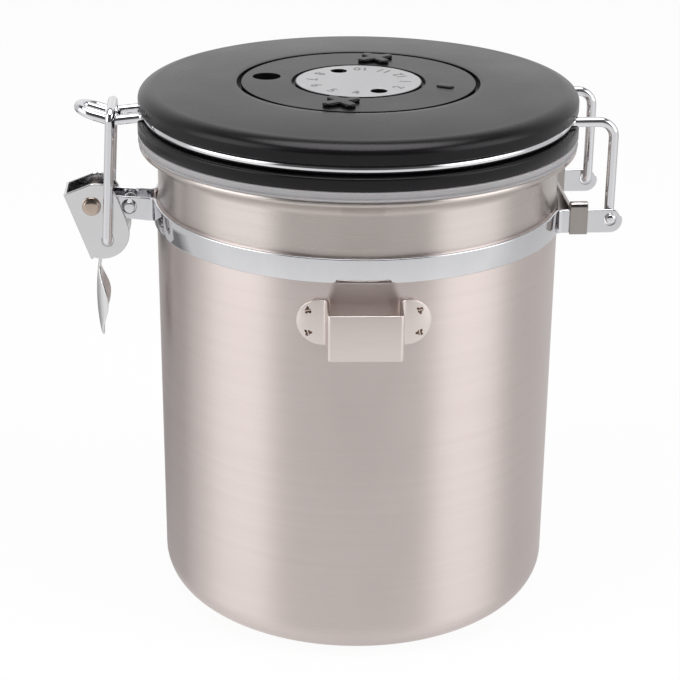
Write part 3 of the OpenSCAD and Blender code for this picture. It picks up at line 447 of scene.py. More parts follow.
# A bent strip: a section with rounded corners stands on its path in the XY plane and reaches half its width
# up and down; half may change along the path, which rounds an end off.
def ribbon(path, thick, half, edge=0.3, steps=4):
    path = np.asarray(path, float)
    tangent = np.gradient(path, axis=0)
    tangent /= np.linalg.norm(tangent, axis=1)[:, None]
    across = np.stack([tangent[:, 1], -tangent[:, 0]], -1)
    corner = [arc((sx, sz), 1, a, a + 90, steps) - (sx, sz) for sx, sz, a in
              ((1, 1, 0), (-1, 1, 90), (-1, -1, 180), (1, -1, 270))]
    sides = np.repeat([(1, 1), (-1, 1), (-1, -1), (1, -1)], steps + 1, axis=0)
    rounded = np.vstack(corner) * edge
    half = np.broadcast_to(np.asarray(half, float), len(path))[:, None]
    out = sides[:, 0] * (thick / 2 - edge) + rounded[:, 0]
    up = sides[:, 1] * np.maximum(half - edge, 0.01) + rounded[:, 1]
    plan = path[:, None] + across[:, None] * (out + 0 * up)[..., None]
    points = np.dstack([plan, up]).reshape(-1, 3)
    cols = len(sides)
    faces = gridFaces(len(path), cols)
    ends = [list(range(cols)), list(range((len(path) - 1) * cols, len(path) * cols))]
    faces = [f[::-1] for f in faces]
    return points, faces + [ends[0], ends[1][::-1]]


# The outline moved in by the depth along its corners' own bisectors; a hole runs the other way round.
def inset(outline, depth):
    edge = np.roll(outline, -1, axis=0) - outline
    edge /= np.linalg.norm(edge, axis=1)[:, None]
    out = np.stack([edge[:, 1], -edge[:, 0]], -1)
    both = out + np.roll(out, 1, axis=0)
    both /= np.linalg.norm(both, axis=1)[:, None]
    return outline - both * (depth / np.maximum((both * out).sum(1), 0.5))[:, None]


def circle(centre, radius, steps=48, hole=True):
    points = arc(centre, radius, 0, 360, steps)[:-1]
    return points[::-1] if hole else points


# A flat plate from an outline that runs anticlockwise and holes that run clockwise, with rounded edges.
def slab(outline, holes, low, high, edge=0.25, steps=3):
    turn = np.radians(np.linspace(0, 90, steps + 1))
    inward = np.concatenate([(1 - np.cos(turn))[::-1], 1 - np.cos(turn)]) * edge
    height = np.concatenate([low + edge * (1 - np.sin(turn[::-1])), high - edge * (1 - np.sin(turn))])
    points, faces, lowRing, highRing, count = [], [], [], [], 0
    for loop in [outline, *holes]:
        loop = np.asarray(loop, float)
        rings = np.stack([np.column_stack([inset(loop, d), np.full(len(loop), z)]) for d, z in zip(inward, height)])
        faces += [[k + count for k in f] for f in gridFaces(len(rings), len(loop))]
        lowRing.append(np.arange(len(loop)) + count)
        highRing.append(np.arange(len(loop)) + count + (len(rings) - 1) * len(loop))
        points.append(rings.reshape(-1, 3))
        count += len(rings) * len(loop)
    points = np.vstack(points)
    for rings, up in ((lowRing, -1), (highRing, 1)):
        flat = [[Vector((points[k][0], points[k][1], 0)) for k in ring] for ring in rings]
        numbers = np.concatenate(rings)
        for triangle in tessellate_polygon(flat):
            corners = numbers[list(triangle)]
            a, b, c = points[corners][:, :2]
            area = (b[0] - a[0]) * (c[1] - a[1]) - (b[1] - a[1]) * (c[0] - a[0])
            if abs(area) > 1e-9:
                faces.append(list(corners if area * up > 0 else corners[::-1]))
    return points, faces


# The can: a drawn steel body with a pressed-up base, a shoulder, a flared neck and a rolled rim

can = {"bodyR": 60.0, "neckR": 59.4, "wall": 0.8, "stepZ": 124.5, "stepH": 1.3, "cornerR": 10.0, "footW": 7.0,
       "grooveW": 14.0, "footRise": 0.8, "flareW": 3.5, "flareH": 4.0, "beadR": 0.9}
can["top"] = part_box("canister_shell")[1].z / mm


# The closed section of the wall, turned round Z: out along the base, up the outside, over the rim and back.
def makeCan(c):
    footOut = c["bodyR"] - c["cornerR"]
    footIn = footOut - c["footW"]
    flareZ = c["top"] - 2 * c["beadR"] - c["flareH"] + 0.2
    bead = (c["neckR"] + c["flareW"] + c["beadR"], c["top"] - c["beadR"])
    s = np.linspace(0, 1, 9)[:, None]
    ease = (1 - np.cos(math.pi * s)) / 2

    def wallLine(inward, cornerR):
        pad = np.hstack([footIn - c["grooveW"] + 1.4 * s, c["footRise"] * ease + inward])
        foot = np.hstack([footIn - 1.4 * (1 - s), c["footRise"] * (1 - ease) + inward])
        corner = arc((footOut, c["cornerR"]), cornerR, -90, 0, 14)
        step = np.hstack([c["bodyR"] - (c["bodyR"] - c["neckR"]) * ease - inward, c["stepZ"] + c["stepH"] * s])
        flare = np.hstack([c["neckR"] - inward + c["flareW"] * (1 - np.cos(s * math.pi / 2)),
                           flareZ + c["flareH"] * s])
        body = [[c["bodyR"] - inward, c["cornerR"] + 0.5], [c["bodyR"] - inward, c["stepZ"] - 0.5]]
        neck = [[c["neckR"] - inward, c["stepZ"] + c["stepH"] + 0.3], [c["neckR"] - inward, flareZ - 0.3]]
        return np.vstack([pad, foot, corner, body, step, neck, flare])

    outside = wallLine(0, c["cornerR"])
    inside = wallLine(c["wall"], c["cornerR"] - c["wall"])[::-1]
    rim = np.vstack([arc(bead, c["beadR"], 215, 470, 22),
                     [[bead[0] - c["beadR"] - c["wall"] / 2, c["top"] - c["beadR"] / 4]]])
    profile = np.vstack([[[0, 0]], outside, rim, inside, [[0, c["wall"]]]])
    return lathe(profile, 288, closed=False)


body = makePiece("canister_body", *makeCan(can), "canister", "brushed_steel", "canSteel", 50,
                 replaces=("canister_shell",))
body.data.materials.append(finishes["neckSteelPaintedShade"])     # the neck is spun smoother than the wall; its darker colour is painted shade from the lid and strap
centres = np.empty(3 * len(body.data.polygons))
body.data.polygons.foreach_get("center", centres)
onNeck = centres[2::3] > (can["stepZ"] + can["stepH"]) * mm
body.data.polygons.foreach_set("material_index", onNeck.astype(np.int32))
print("can made")


# The strap: two halves with their ears, each a band with rolled edges

strap = {"thick": 0.9, "half": 3.55, "z": 122.2, "midR": 60.5, "hingeY": 19.95, "hingeBend": 3.05,
         "latchY": 4.35, "latchBend": 1.65, "edge": 0.4, "hingeX": 73.0, "hingeEnd": 3.55}
latch = {"x": -79.0, "z": 123.8, "earTip": 3.3, "pinX": -68.0, "pinZ": 122.87, "pinR": 1.75,
         "frontHole": 2.15, "rearHole": 1.8}


# The band's line at -Y: the latch ear's stub, its bend, the long arc round the can, the hinge bend and stub.
def bandPath(s):
    hingeC = (math.sqrt((s["midR"] + s["hingeBend"]) ** 2 - (s["hingeY"] + s["hingeBend"]) ** 2),
              -s["hingeY"] - s["hingeBend"])
    latchC = (-math.sqrt((s["midR"] + s["latchBend"]) ** 2 - (s["latchY"] + s["latchBend"]) ** 2),
              -s["latchY"] - s["latchBend"])
    hingeA = math.degrees(math.atan2(-hingeC[1], hingeC[0]))
    latchA = math.degrees(math.atan2(-latchC[1], -latchC[0]))
    path = np.vstack([
        [[latchC[0] - 1.2, -s["latchY"]], [latchC[0] - 0.5, -s["latchY"]]],
        arc(latchC, s["latchBend"], 90, latchA, 16),
        arc((0, 0), s["midR"], latchA - 180, -hingeA, 160)[1:-1],
        arc(hingeC, s["hingeBend"], 180 - hingeA, 90, 16),
        [[hingeC[0] + 0.5, -s["hingeY"]], [hingeC[0] + 1.2, -s["hingeY"]]],
    ])
    return path, hingeC[0], latchC[0]


# The plate's outline in X and Z: a straight root and a half-round end, with the wire's hole in it.
def hingeEar(s, startX):
    end = arc((s["hingeX"], s["z"]), s["hingeEnd"], -90, 90, 24)
    root = [[startX, s["z"] + s["half"]], [startX, s["z"] - s["half"]]]
    return slab(np.vstack([end, root]), [circle((s["hingeX"] - 0.1, s["z"] + 0.6), 1.75)], -s["thick"] / 2,
                s["thick"] / 2, 0.3)


# The plate's outline in X and Z: it narrows from the band to a round tip at the lever's pivot.
def latchEar(s, l, startX, hole):
    tip = arc((l["x"], l["z"]), l["earTip"], 92, 268, 24)
    root = [[startX, s["z"] - s["half"]], [startX, s["z"] + s["half"]]]
    return slab(np.vstack([tip, root]), [circle((l["pinX"], l["pinZ"] + hole - l["pinR"]), hole)], -s["thick"] / 2,
                s["thick"] / 2, 0.3)


for side, word in ((-1, "front"), (1, "rear")):
    path, hingeRoot, latchRoot = bandPath(strap)
    points, faces = ribbon(path, strap["thick"] + 0.02, strap["half"] + 0.01, strap["edge"])
    points = points + (0, 0, strap["z"])
    if side > 0:
        points, faces = points * (1, -1, 1), [f[::-1] for f in faces]
    makePiece(f"strap_{word}_band", points, faces, "canister", "polished_steel", "strapChrome", 50,
              replaces=(f"strap_{word}",))
    for word2, ear, y in (("hinge", hingeEar(strap, hingeRoot), side * strap["hingeY"]),
                          ("latch", latchEar(strap, latch, latchRoot, latch[word + "Hole"]), side * strap["latchY"])):
        makePiece(f"strap_{word}_{word2}_ear", turned(ear[0], (0, y, 0), sideways), ear[1], "canister",
                  "polished_steel", "strapChrome", 30, flat=True)
print("strap made")


# Lid wires: the ring with its nose and hinge legs, and the second wire nested in the nose

wire = {"r": 1.45, "ringR": 62.0, "ringZ": 151.4, "rootBend": 3.0, "legY": 17.5, "hingeX": 73.0, "hingeZ": 122.8,
        "legBend": 4.5, "footBend": 2.0, "footEnd": 20.5, "strandY": 5.5, "drop": 1.0, "dip": 1.8, "dipBend": 6.0,
        "hookX": -71.44, "tilt": 18.0, "innerY": 2.58}


# One strand and half of the nose's tip at -Y: down a slight slope, up again past the dip, then a half turn in
# the tilted plane.
def nosePath(w, y):
    rootX = -math.sqrt((w["ringR"] + w["rootBend"]) ** 2 - (w["strandY"] + w["rootBend"]) ** 2)
    rise = math.tan(math.radians(w["tilt"]))
    lowX = w["hookX"] - w["dipBend"] * math.tan(math.radians(w["tilt"] / 2))
    tipX = -(w["ringR"] + 19.8) + y * math.cos(math.radians(w["tilt"]))
    low = w["ringZ"] - w["dip"]
    line = roundedPath([(rootX, -y, w["ringZ"] - w["drop"]), (lowX, -y, low),
                        (tipX, -y, low + (lowX - tipX) * rise)], [w["dipBend"]])
    a = np.radians(np.linspace(0, 90, 13))[1:, None]
    end = line[-1]
    out = np.array([-math.cos(math.radians(w["tilt"])), 0, math.sin(math.radians(w["tilt"]))])
    middle = end + (0, y, 0)
    half = middle + y * (out * np.sin(a) - np.array([0, 1, 0]) * np.cos(a))
    return np.vstack([line, half]), rootX


# From the hinge foot at -Y up its leg, round the ring and out to the nose's tip.
def ringHalf(w):
    root = w["rootBend"]
    legX = math.sqrt((w["ringR"] + root) ** 2 - (w["legY"] + root) ** 2)
    legA = math.degrees(math.atan2(w["legY"] + root, legX))
    leg = roundedPath([(w["hingeX"], -w["footEnd"], w["hingeZ"]), (w["hingeX"], -w["legY"], w["hingeZ"]),
                       (w["hingeX"], -w["legY"], w["ringZ"]), (legX + 0.05, -w["legY"], w["ringZ"])],
                      [w["footBend"], w["legBend"]])
    nose, rootX = nosePath(w, w["strandY"])
    noseA = math.degrees(math.atan2(w["strandY"] + root, -rootX))
    ring = np.vstack([
        arc((legX, -w["legY"] - root), root, 90, 180 - legA, 12),
        arc((0, 0), w["ringR"], -legA, noseA - 180, 150)[1:-1],
        arc((rootX, -w["strandY"] - root), root, noseA, 90, 12),
    ])
    fall = np.clip((ring[:, 0] + w["ringR"] - 1.8) / (rootX + w["ringR"] - 1.8), 0, 1)
    ringZ = w["ringZ"] - w["drop"] * fall ** 2 * (3 - 2 * fall)      # the wire sinks toward the nose's root
    return np.vstack([leg, np.column_stack([ring, ringZ]), nose])


half = ringHalf(wire)
wholeWire = np.vstack([half, (half * (1, -1, 1))[-2::-1]])
makePiece("lid_wire", *tube(wholeWire, wire["r"]), "lid", "chrome_wire", "wireChrome", 60,
          replaces=("lid_ring_wire",))
inner, rootX = nosePath(wire, wire["innerY"])
inner = inner[inner[:, 0] < rootX - 1.5]
makePiece("nose_inner_wire", *tube(np.vstack([inner, (inner * (1, -1, 1))[-2::-1]]), wire["r"], endRound=0.9),
          "lid", "chrome_wire", "wireChrome", 60, replaces=("nose_wire",))
print("lid wires made")


# The latch: bail, lever, rivet and the pin that ties the ears

bail = {"r": 1.45, "y": 8.525, "footX": -74.7, "footZ": 113.1, "topX": -72.3, "topZ": 152.45, "bend": 2.6,
        "footBend": 2.2, "footIn": 4.8}


def bailPath(b):
    corners = [(b["footX"], -b["footIn"], b["footZ"]), (b["footX"], -b["y"], b["footZ"]),
               (b["topX"], -b["y"], b["topZ"]), (b["topX"], b["y"], b["topZ"]),
               (b["footX"], b["y"], b["footZ"]), (b["footX"], b["footIn"], b["footZ"])]
    return roundedPath(corners, [b["footBend"], b["bend"], b["bend"], b["footBend"]])


makePiece("bail_wire", *tube(bailPath(bail), bail["r"]), "bail", "chrome_wire", "wireChrome", 60,
          replaces=("latch_bail",))

lever = {"in": 5.3, "out": 6.2, "topC": (1.5, 0.4), "topR": 6.5, "lowC": (2.8, -8.4), "lowR": 8.1,
         "webTop": (-8.1, 3.6), "webLow": (-0.8, -16.6), "thick": 0.9, "bailHole": (4.3, -10.7),
         "tabTop": -16.2, "tabEnd": -43.4, "tabHalf": 6.4, "neckHalf": 1.7, "gutterR": 7.9, "tabX": 1.25}


# The side plate's outline round the pivot: two corners at the web and two round shoulders.
def leverPlate(l):
    outline = np.vstack([arc(l["lowC"], l["lowR"], -108, 24, 30), arc(l["topC"], l["topR"], 24, 105, 18),
                         [l["webTop"], l["webLow"]]])
    holes = [circle((0, 0), 2.08), circle(l["bailHole"], bail["r"] + 0.25)]
    return slab(outline, holes, -l["thick"] / 2, l["thick"] / 2, 0.28)


# The folded back of the channel, a flat strip from the top corner to the low one.
def leverWeb(l):
    top, low = np.array(l["webTop"]), np.array(l["webLow"])
    run = (low - top) / np.linalg.norm(low - top)
    length = np.linalg.norm(low - top)
    y = l["out"] - 0.02
    outline = [[-y, 0], [-y, length], [y, length], [y, 0]]
    points, faces = slab(np.array(outline)[::-1], [], 0, l["thick"], 0.3)
    normal = np.array([-run[1], run[0]])
    place = [[0, run[0], normal[0]], [1, 0, 0], [0, run[1], normal[1]]]
    return turned(points, (top[0], 0, top[1]), place), faces


# A pressed leaf: at each height its half width follows the neck and then the leaf, and it curls toward the
# can on a gutter's circle: x = R - sqrt(R^2 - y^2) over a slow bow in z. Its rim is a squashed circle.
def fingerTab(l):
    s = np.linspace(0, 1, 72)[:, None]
    z = l["tabTop"] + (l["tabEnd"] - l["tabTop"]) * s
    leafS = np.clip((s - 0.13) / 0.87, 0, 1)
    leaf = l["tabHalf"] * np.sin(math.pi * leafS ** 0.92) ** 0.8
    neck = l["neckHalf"] + 1.3 * np.clip(1 - s / 0.08, 0, 1) ** 2
    width = np.maximum(leaf, neck * (s < 0.35)) * np.sqrt(np.clip((1 - s) / 0.03, 0.02, 1))
    a = np.linspace(0, 2 * math.pi, 60, endpoint=False)[None, :]
    y = width * np.cos(a)
    bow = 1.3 * (2 * s - 1.05) ** 2 - 0.75
    gutter = l["gutterR"] - np.sqrt(l["gutterR"] ** 2 - y ** 2)
    thick = l["thick"] / 2 * np.sign(np.sin(a)) * np.abs(np.sin(a)) ** 0.45
    x = l["tabX"] + bow + gutter + thick * np.minimum(1, width / 1.2)
    points = np.dstack([x, y, z + 0 * a]).reshape(-1, 3)
    rows, cols = len(s), a.shape[1]
    faces = gridFaces(rows, cols)
    faces += [list(range(cols))[::-1], list(range((rows - 1) * cols, rows * cols))]
    return points, faces


pivot = np.array((latch["x"], 0, latch["z"]))
for y, word in ((-1, "front"), (1, "rear")):
    points, faces = leverPlate(lever)
    place = pivot + (0, y * (lever["in"] + lever["out"]) / 2, 0)
    makePiece(f"lever_{word}_plate", turned(points, place, sideways), faces, "lever", "satin_steel", "leverSteel",
              30, flat=True, replaces=("latch_lever",))
points, faces = leverWeb(lever)
makePiece("lever_web", points + pivot, faces, "lever", "satin_steel", "leverSteel", 30, flat=True)
points, faces = fingerTab(lever)
makePiece("finger_tab", points + pivot, faces, "lever", "satin_steel", "tabSteel", 60)

rivet = {"shank": 2.0, "head": 2.8, "y": 6.3}


# A rivet's section, turned round its own axis: a low domed head at each end.
def rivetShell(r):
    lip = arc((r["head"] - 0.32, r["y"] + 0.28), 0.32, -60, 60, 8)
    dome = arc((0, r["y"] + 0.35), (r["head"] - 0.35, 0.75), 18, 90, 14)
    half = np.vstack([[[r["shank"], r["y"] - 0.05]], lip, dome])
    return lathe(np.vstack([(half * (1, -1))[::-1], half]), 64, closed=False)


points, faces = rivetShell(rivet)
makePiece("rivet_shell", turned(points, pivot, alongY), faces, "canister", "rivet_steel", "rivetSteel", 50,
          replaces=("lever_rivet",))


# A plain pin with turned, slightly domed ends.
def tiePin():
    r, h = 1.75, 5.2
    end = np.vstack([[[r, h - 0.7]], arc((r - 0.5, h - 0.5), 0.5, 0, 80, 6), [[0.6, h + 0.05], [0, h + 0.08]]])
    return lathe(np.vstack([(end * (1, -1))[::-1], end]), 48, closed=False)


points, faces = tiePin()
makePiece("ear_pin", turned(points, (latch["pinX"], 0, latch["pinZ"]), alongY), faces, "canister",
          "polished_steel", "strapChrome", 40, replaces=("latch_tie_pin",))
print("latch made")


# The tie between the hinge ears: a web and a tab folded over each ear

tie = {"webX": 60.9, "thick": 1.0, "wide": 5.2, "inY": 18.9, "outY": 21.0, "topZ": 127.7, "lowZ": 118.6,
       "bend": 1.04}


# A strip that rises inside the ear, folds over its top edge and comes down outside it.
def tieTab(t, side):
    line = roundedPath([(t["inY"], t["lowZ"] + 0.5, 0), (t["inY"], t["topZ"], 0), (t["outY"], t["topZ"], 0),
                        (t["outY"], t["lowZ"], 0)], [t["bend"], t["bend"]], 12)[:, :2]
    points, faces = ribbon(evenPath(line, 1.5), t["thick"], t["wide"] / 2, 0.22)
    place = [[0, 0, 1], [side, 0, 0], [0, 1, 0]]
    faces = faces if side > 0 else [f[::-1] for f in faces]
    return turned(points, (t["webX"] + t["wide"] / 2, 0, 0), place), faces


for side, word in ((-1, "front"), (1, "rear")):
    points, faces = tieTab(tie, side)
    makePiece(f"tie_{word}_tab", points, faces, "canister", "sheet_steel", "tieSteel", 50,
              replaces=("hinge_tie",))
webOutline = np.array([[-18.5, 118.65], [18.5, 118.65], [18.5, 126.2], [-18.5, 126.2]])
points, faces = slab(webOutline, [], 0, tie["thick"], 0.3)
makePiece("tie_web", turned(points, (tie["webX"], 0, 0), [[0, 0, 1], [1, 0, 0], [0, 1, 0]]), faces, "canister",
          "sheet_steel", "tieSteel", 30, flat=True)
print("hinge tie made")


# The lid: cover, seal, dials and knobs

lid = {"r": 64.6, "top": 159.6, "lip": 153.0, "shoulder": (4.9, 3.2), "dome": 0.75, "recessR": 35.7, "floor": 157.2,
       "floorLow": 155.7, "plate": 157.7, "grooveR": 60.4, "spigotR": 58.2, "spigotZ": 149.72, "axleR": 5.05}


# The cover's closed section: the dial recess, a top that falls with the square of its radius, an elliptical
# shoulder, the skirt and its lip.
def lidCover(l):
    sw, sh = l["shoulder"]
    edgeTop = l["top"] - l["dome"]
    s = np.linspace(1, 0, 14)[:-1, None]
    dome = np.hstack([l["recessR"] + 0.15 + (l["r"] - sw - l["recessR"] - 0.15) * s, l["top"] - l["dome"] * s ** 2])
    profile = np.vstack([
        [[l["axleR"], l["floor"]], [l["axleR"], l["floorLow"]], [37.3, l["floorLow"]], [37.3, l["plate"]],
         [l["spigotR"], l["plate"]], [l["spigotR"], l["spigotZ"]], [l["grooveR"], l["spigotZ"]],
         [l["grooveR"], l["lip"] - 0.01]],
        arc((l["r"] - 0.5, l["lip"] + 0.5), 0.5, -90, 0, 6),
        arc((l["r"] - sw, edgeTop - sh), (sw, sh), 0, 86, 24),
        dome,
        arc((l["recessR"] + 0.15, l["top"] - 0.15), 0.15, 90, 180, 4),
        [[l["recessR"], l["floor"]]],
    ])
    return lathe(profile, 288)


makePiece("cover_shell", *lidCover(lid), "lid", "black_plastic", "blackPlastic", 40, replaces=("lid_cover",))

base = {"r": 64.9, "plugR": 57.5, "wallR": 55.5, "low": 141.0, "floorTop": 143.0, "rimLow": 146.0, "top": 149.7,
        "round": 0.7, "seatR": 12.05, "screwR": 47.0, "screwHole": 3.1}


# The base's closed section: the plug's wall, the rim that shows, its rounded upper edge.
def baseRim(b):
    profile = np.vstack([
        [[b["wallR"], b["top"]], [b["wallR"], b["low"] + 0.2], [b["plugR"] - 0.6, b["low"]],
         [b["plugR"], b["low"] + 0.6], [b["plugR"], b["rimLow"]], [b["r"] - 0.2, b["rimLow"]],
         [b["r"], b["rimLow"] + 0.3]],
        arc((b["r"] - b["round"], b["top"] - b["round"]), b["round"], 0, 90, 6),
    ])
    return lathe(profile, 288)


makePiece("base_rim", *baseRim(base), "lid", "black_plastic", "blackPlastic", 40, replaces=("lid_base",))
screwPlaces = [(base["screwR"] * x, base["screwR"] * y) for x in (-math.sqrt(0.5), math.sqrt(0.5))
               for y in (-math.sqrt(0.5), math.sqrt(0.5))]
points, faces = slab(circle((0, 0), base["wallR"] + 0.6, 192, False),
                     [circle((0, 0), base["seatR"], 96)] + [circle(p, base["screwHole"], 40) for p in screwPlaces],
                     base["low"], base["floorTop"], 0.25)
makePiece("base_floor", points, faces, "lid", "black_plastic", "blackPlastic", 30, flat=True)

seal = {"inR": 57.55, "outR": 64.9, "top": 145.98, "low": 143.15, "lipIn": 63.95, "lipLow": 142.95}


# The seal's closed section: a bead that sits on the rim, and an outer skirt that ends in a rolled lip.
def sealRing(s):
    profile = np.vstack([
        [[s["inR"], s["top"]], [s["inR"], s["low"]], [s["inR"] + 1, s["low"] - 0.35],
         [61.3, s["low"] - 0.35], [62.0, s["low"] + 0.2], [s["lipIn"], s["low"] + 0.2]],
        arc((s["lipIn"] + 0.45, s["lipLow"] + 0.45), 0.45, 180, 370, 10),
        [[s["outR"] - 0.55, s["low"] + 0.6]],
        arc((s["outR"] - 0.45, s["top"] - 0.6), 0.45, -20, 90, 6),
    ])
    return lathe(profile, 288)


makePiece("seal_ring", *sealRing(seal), "lid", "grey_silicone", "silicone", 40, replaces=("silicone_seal",))

dial = {"top": 159.55, "dayR": 34.35, "dayLow": 157.4, "monthR": 18.6, "faceR": 18.35, "monthSeat": 19.65,
        "webTop": 158.4, "monthLow": 158.6, "monthTop": 159.6, "ventR": 13.0, "vent": 2.35, "monthTurn": -7.0, "windowR": 27.5,
        "windowA": 167.0, "windowHole": 4.15, "knobR": 26.3, "knobs": (75.0, 255.5), "knobHalf": 6.0,
        "knobArm": 1.65, "knobTop": 160.6, "pointerR": 25.85, "pointerA": -16.8,
        "pointerTurn": -31.0}


def around(radius, angle):
    return radius * math.cos(math.radians(angle)), radius * math.sin(math.radians(angle))


# Reach of a cross of two round-ended arms at each angle: the further of the two arms' own reaches.
def crossOutline(half, arm, steps=96):
    t = np.linspace(0, 2 * math.pi, steps, endpoint=False)

    def reach(angle):
        c, s = np.abs(np.cos(angle)), np.abs(np.sin(angle))
        d = half - arm
        end = d * c + np.sqrt(np.maximum(arm ** 2 - (d * s) ** 2, 0))
        return np.where(d * s < arm, np.where(arm * c > d * s, end, arm / np.maximum(s, 1e-6)), arm / np.maximum(s, 1e-6))

    r = np.maximum(reach(t - math.pi / 4), reach(t + math.pi / 4))
    return np.stack([r * np.cos(t), r * np.sin(t)], -1)


# A straight bar with round ends, turned by the angle about the dial's middle.
def stadium(length, width, centre, angle):
    a = np.vstack([arc((length / 2 - width / 2, 0), width / 2, -90, 90, 10),
                   arc((width / 2 - length / 2, 0), width / 2, 90, 270, 10)])
    t = math.radians(angle)
    return a @ [[math.cos(t), math.sin(t)], [-math.sin(t), math.cos(t)]] + centre


window = circle(around(dial["windowR"], dial["windowA"]), dial["windowHole"], 48)
points, faces = slab(circle((0, 0), dial["dayR"], 256, False), [circle((0, 0), dial["monthSeat"], 160), window],
                     dial["dayLow"], dial["top"], 0.14)
makePiece("day_ring", points, faces, "day_dial", "black_plastic", "dialPlastic", 30, flat=True,
          replaces=("day_disc",))
ventHoles = [circle(around(dial["ventR"], a + dial["monthTurn"]), 3.1, 28) for a in range(0, 360, 60)]
points, faces = slab(circle((0, 0), dial["monthSeat"] + 0.01, 128, False),
                     [circle((0, 0), 5.1, 40), *ventHoles], dial["dayLow"], dial["webTop"], 0.1, 1)
makePiece("day_web", points, faces, "day_dial", "black_plastic", "dialPlastic", 30, flat=True)
for k, angle in enumerate(dial["knobs"]):
    points, faces = slab(crossOutline(dial["knobHalf"], dial["knobArm"]), [], dial["top"] - 0.05, dial["knobTop"],
                         0.45, 4)
    t = math.radians(angle)
    turn = [[math.cos(t), -math.sin(t), 0], [math.sin(t), math.cos(t), 0], [0, 0, 1]]
    makePiece(f"cross_knob_{k + 1}", turned(points, (*around(dial["knobR"], angle), 0), turn), faces, "day_dial",
              "black_plastic", "knobPlastic", 35, flat=True)
points, faces = slab(stadium(5.4, 2.9, around(dial["pointerR"], dial["pointerA"]), dial["pointerTurn"]), [],
                     dial["top"] - 0.1, dial["top"] + 0.45, 0.3)
makePiece("month_pointer", points, faces, "day_dial", "black_plastic", "knobPlastic", 35)

ventPlaces = [around(dial["ventR"], dial["monthTurn"] - 30 * (m - 1)) for m in (3, 9)]
vents = [circle(place, dial["vent"], 48) for place in ventPlaces]
points, faces = slab(circle((0, 0), dial["monthR"], 192, False), vents, dial["monthLow"], dial["monthTop"] - 0.04,
                     0.06, 2)
makePiece("month_rim", points, faces, "month_dial", "black_plastic", "dialPlastic", 30, flat=True,
          replaces=("month_dial",))
vents = [circle(place, dial["vent"] + 0.1, 48) for place in ventPlaces]
points, faces = slab(circle((0, 0), dial["faceR"], 192, False), vents, dial["monthTop"] - 0.75,
                     dial["monthTop"] + 0.06, 0.25, 5)
makePiece("month_face", points, faces, "month_dial", "dial_face", "silverFace", 30, flat=True)
stem = lathe(np.array([[0, 150.9], [2.2, 150.9], [2.5, 151.2], [2.5, 153.4], [2.1, 153.4], [2.1, 154.4],
                       [2.5, 154.4], [2.5, 159.0], [0, 159.0]]), 48, closed=False)
makePiece("month_stem", *stem, "month_dial", "dial_face", "whitePlastic", 30)


# Plain numbers as thin raised letters; each is set at its radius and angle, its foot toward the outside.
def numbers(name, labels, size, height, body, slot, finish, flip=1):
    points, faces, count = [], [], 0
    for text, radius, angle in labels:
        curve = bpy.data.curves.new("label", "FONT")
        curve.body, curve.size, curve.align_x, curve.align_y = text, size, "CENTER", "CENTER"
        curve.extrude, curve.offset, curve.resolution_u = 0.02, 0.02 * size, 3
        holder = bpy.data.objects.new("label", curve)
        mesh = bpy.data.meshes.new_from_object(holder)
        flat = np.empty(len(mesh.vertices) * 3)
        mesh.vertices.foreach_get("co", flat)
        t = math.radians(angle + 90 * flip)
        turn = [[math.cos(t), -math.sin(t), 0], [math.sin(t), math.cos(t), 0], [0, 0, 1]]
        points.append(turned(flat.reshape(-1, 3), (*around(radius, angle), height), turn))
        faces += [[v + count for v in p.vertices] for p in mesh.polygons]
        count += len(mesh.vertices)
        bpy.data.objects.remove(holder)
        bpy.data.meshes.remove(mesh)
        bpy.data.curves.remove(curve)
    return makePiece(name, np.vstack(points), faces, body, slot, finish, 30)


months = [(str(m), 13.9, dial["monthTurn"] - 30 * (m - 1)) for m in range(1, 13) if m not in (3, 9)]
numbers("month_numbers", months, 4.7, dial["monthTop"] + 0.075, "month_dial", "dial_face", "greyInk")
days = [(str(d), 28.0, 360 / 31 * (d - 1)) for d in range(1, 32)]
# the day numbers are dimmed as painted shade inside the deep window
numbers("day_numbers", days, 3.4, 157.36, "lid", "scale_print", "dimInkPaintedShade")
print("lid and dials made")


# The scoop holder: one bent strip with half-round flanges and four weld marks

scoop = {"turn": -1.8, "plate": 20.9, "out": 12.0, "thick": 0.8, "half": 6.6, "z": 107.0, "wide": 37.1,
         "bodyR": 60.02, "bend": 0.9, "root": 1.5, "weldX": 15.4, "weldZ": 3.3}


# The strip's plan: a flange on the can, a side out, the front plate, and the same again; near its ends the
# strip's half width falls along a half circle.
def holderStrip(s):
    r = s["bodyR"] + s["thick"] / 2
    side, front = s["plate"] / 2 - s["thick"] / 2, -(60 + s["out"]) + s["thick"] / 2
    endA = math.degrees(math.asin((s["wide"] / 2) / r))
    rootA = math.degrees(math.asin(side / r))
    flange = arc((0, 0), r, -90 + endA, -90 + rootA + 0.8, 40)
    root = (side, -math.sqrt(r * r - side * side), 0)
    corner = roundedPath([(*flange[-9], 0), root, (side, front, 0), (-side, front, 0)], [s["root"], s["bend"]],
                         10)[1:-1, :2]
    half = np.vstack([flange[:-9], corner])
    path = np.vstack([half, (half * (-1, 1))[::-1]])
    cut = np.minimum((s["wide"] / 2 - np.abs(path[:, 0])), s["half"])
    width = np.sqrt(np.clip(s["half"] ** 2 - (s["half"] - cut) ** 2, 0.12, None))
    return path, width


path, width = holderStrip(scoop)
points, faces = ribbon(path[::-1], scoop["thick"], width[::-1], 0.24)
t = math.radians(scoop["turn"])
holderTurn = np.array([[math.cos(t), -math.sin(t), 0], [math.sin(t), math.cos(t), 0], [0, 0, 1]])
points = turned(points + (0, 0, scoop["z"]), (0, 0, 0), holderTurn)
makePiece("holder_strip", points, faces, "canister", "satin_steel", "holderSteel", 50,
          replaces=("scoop_holder",))


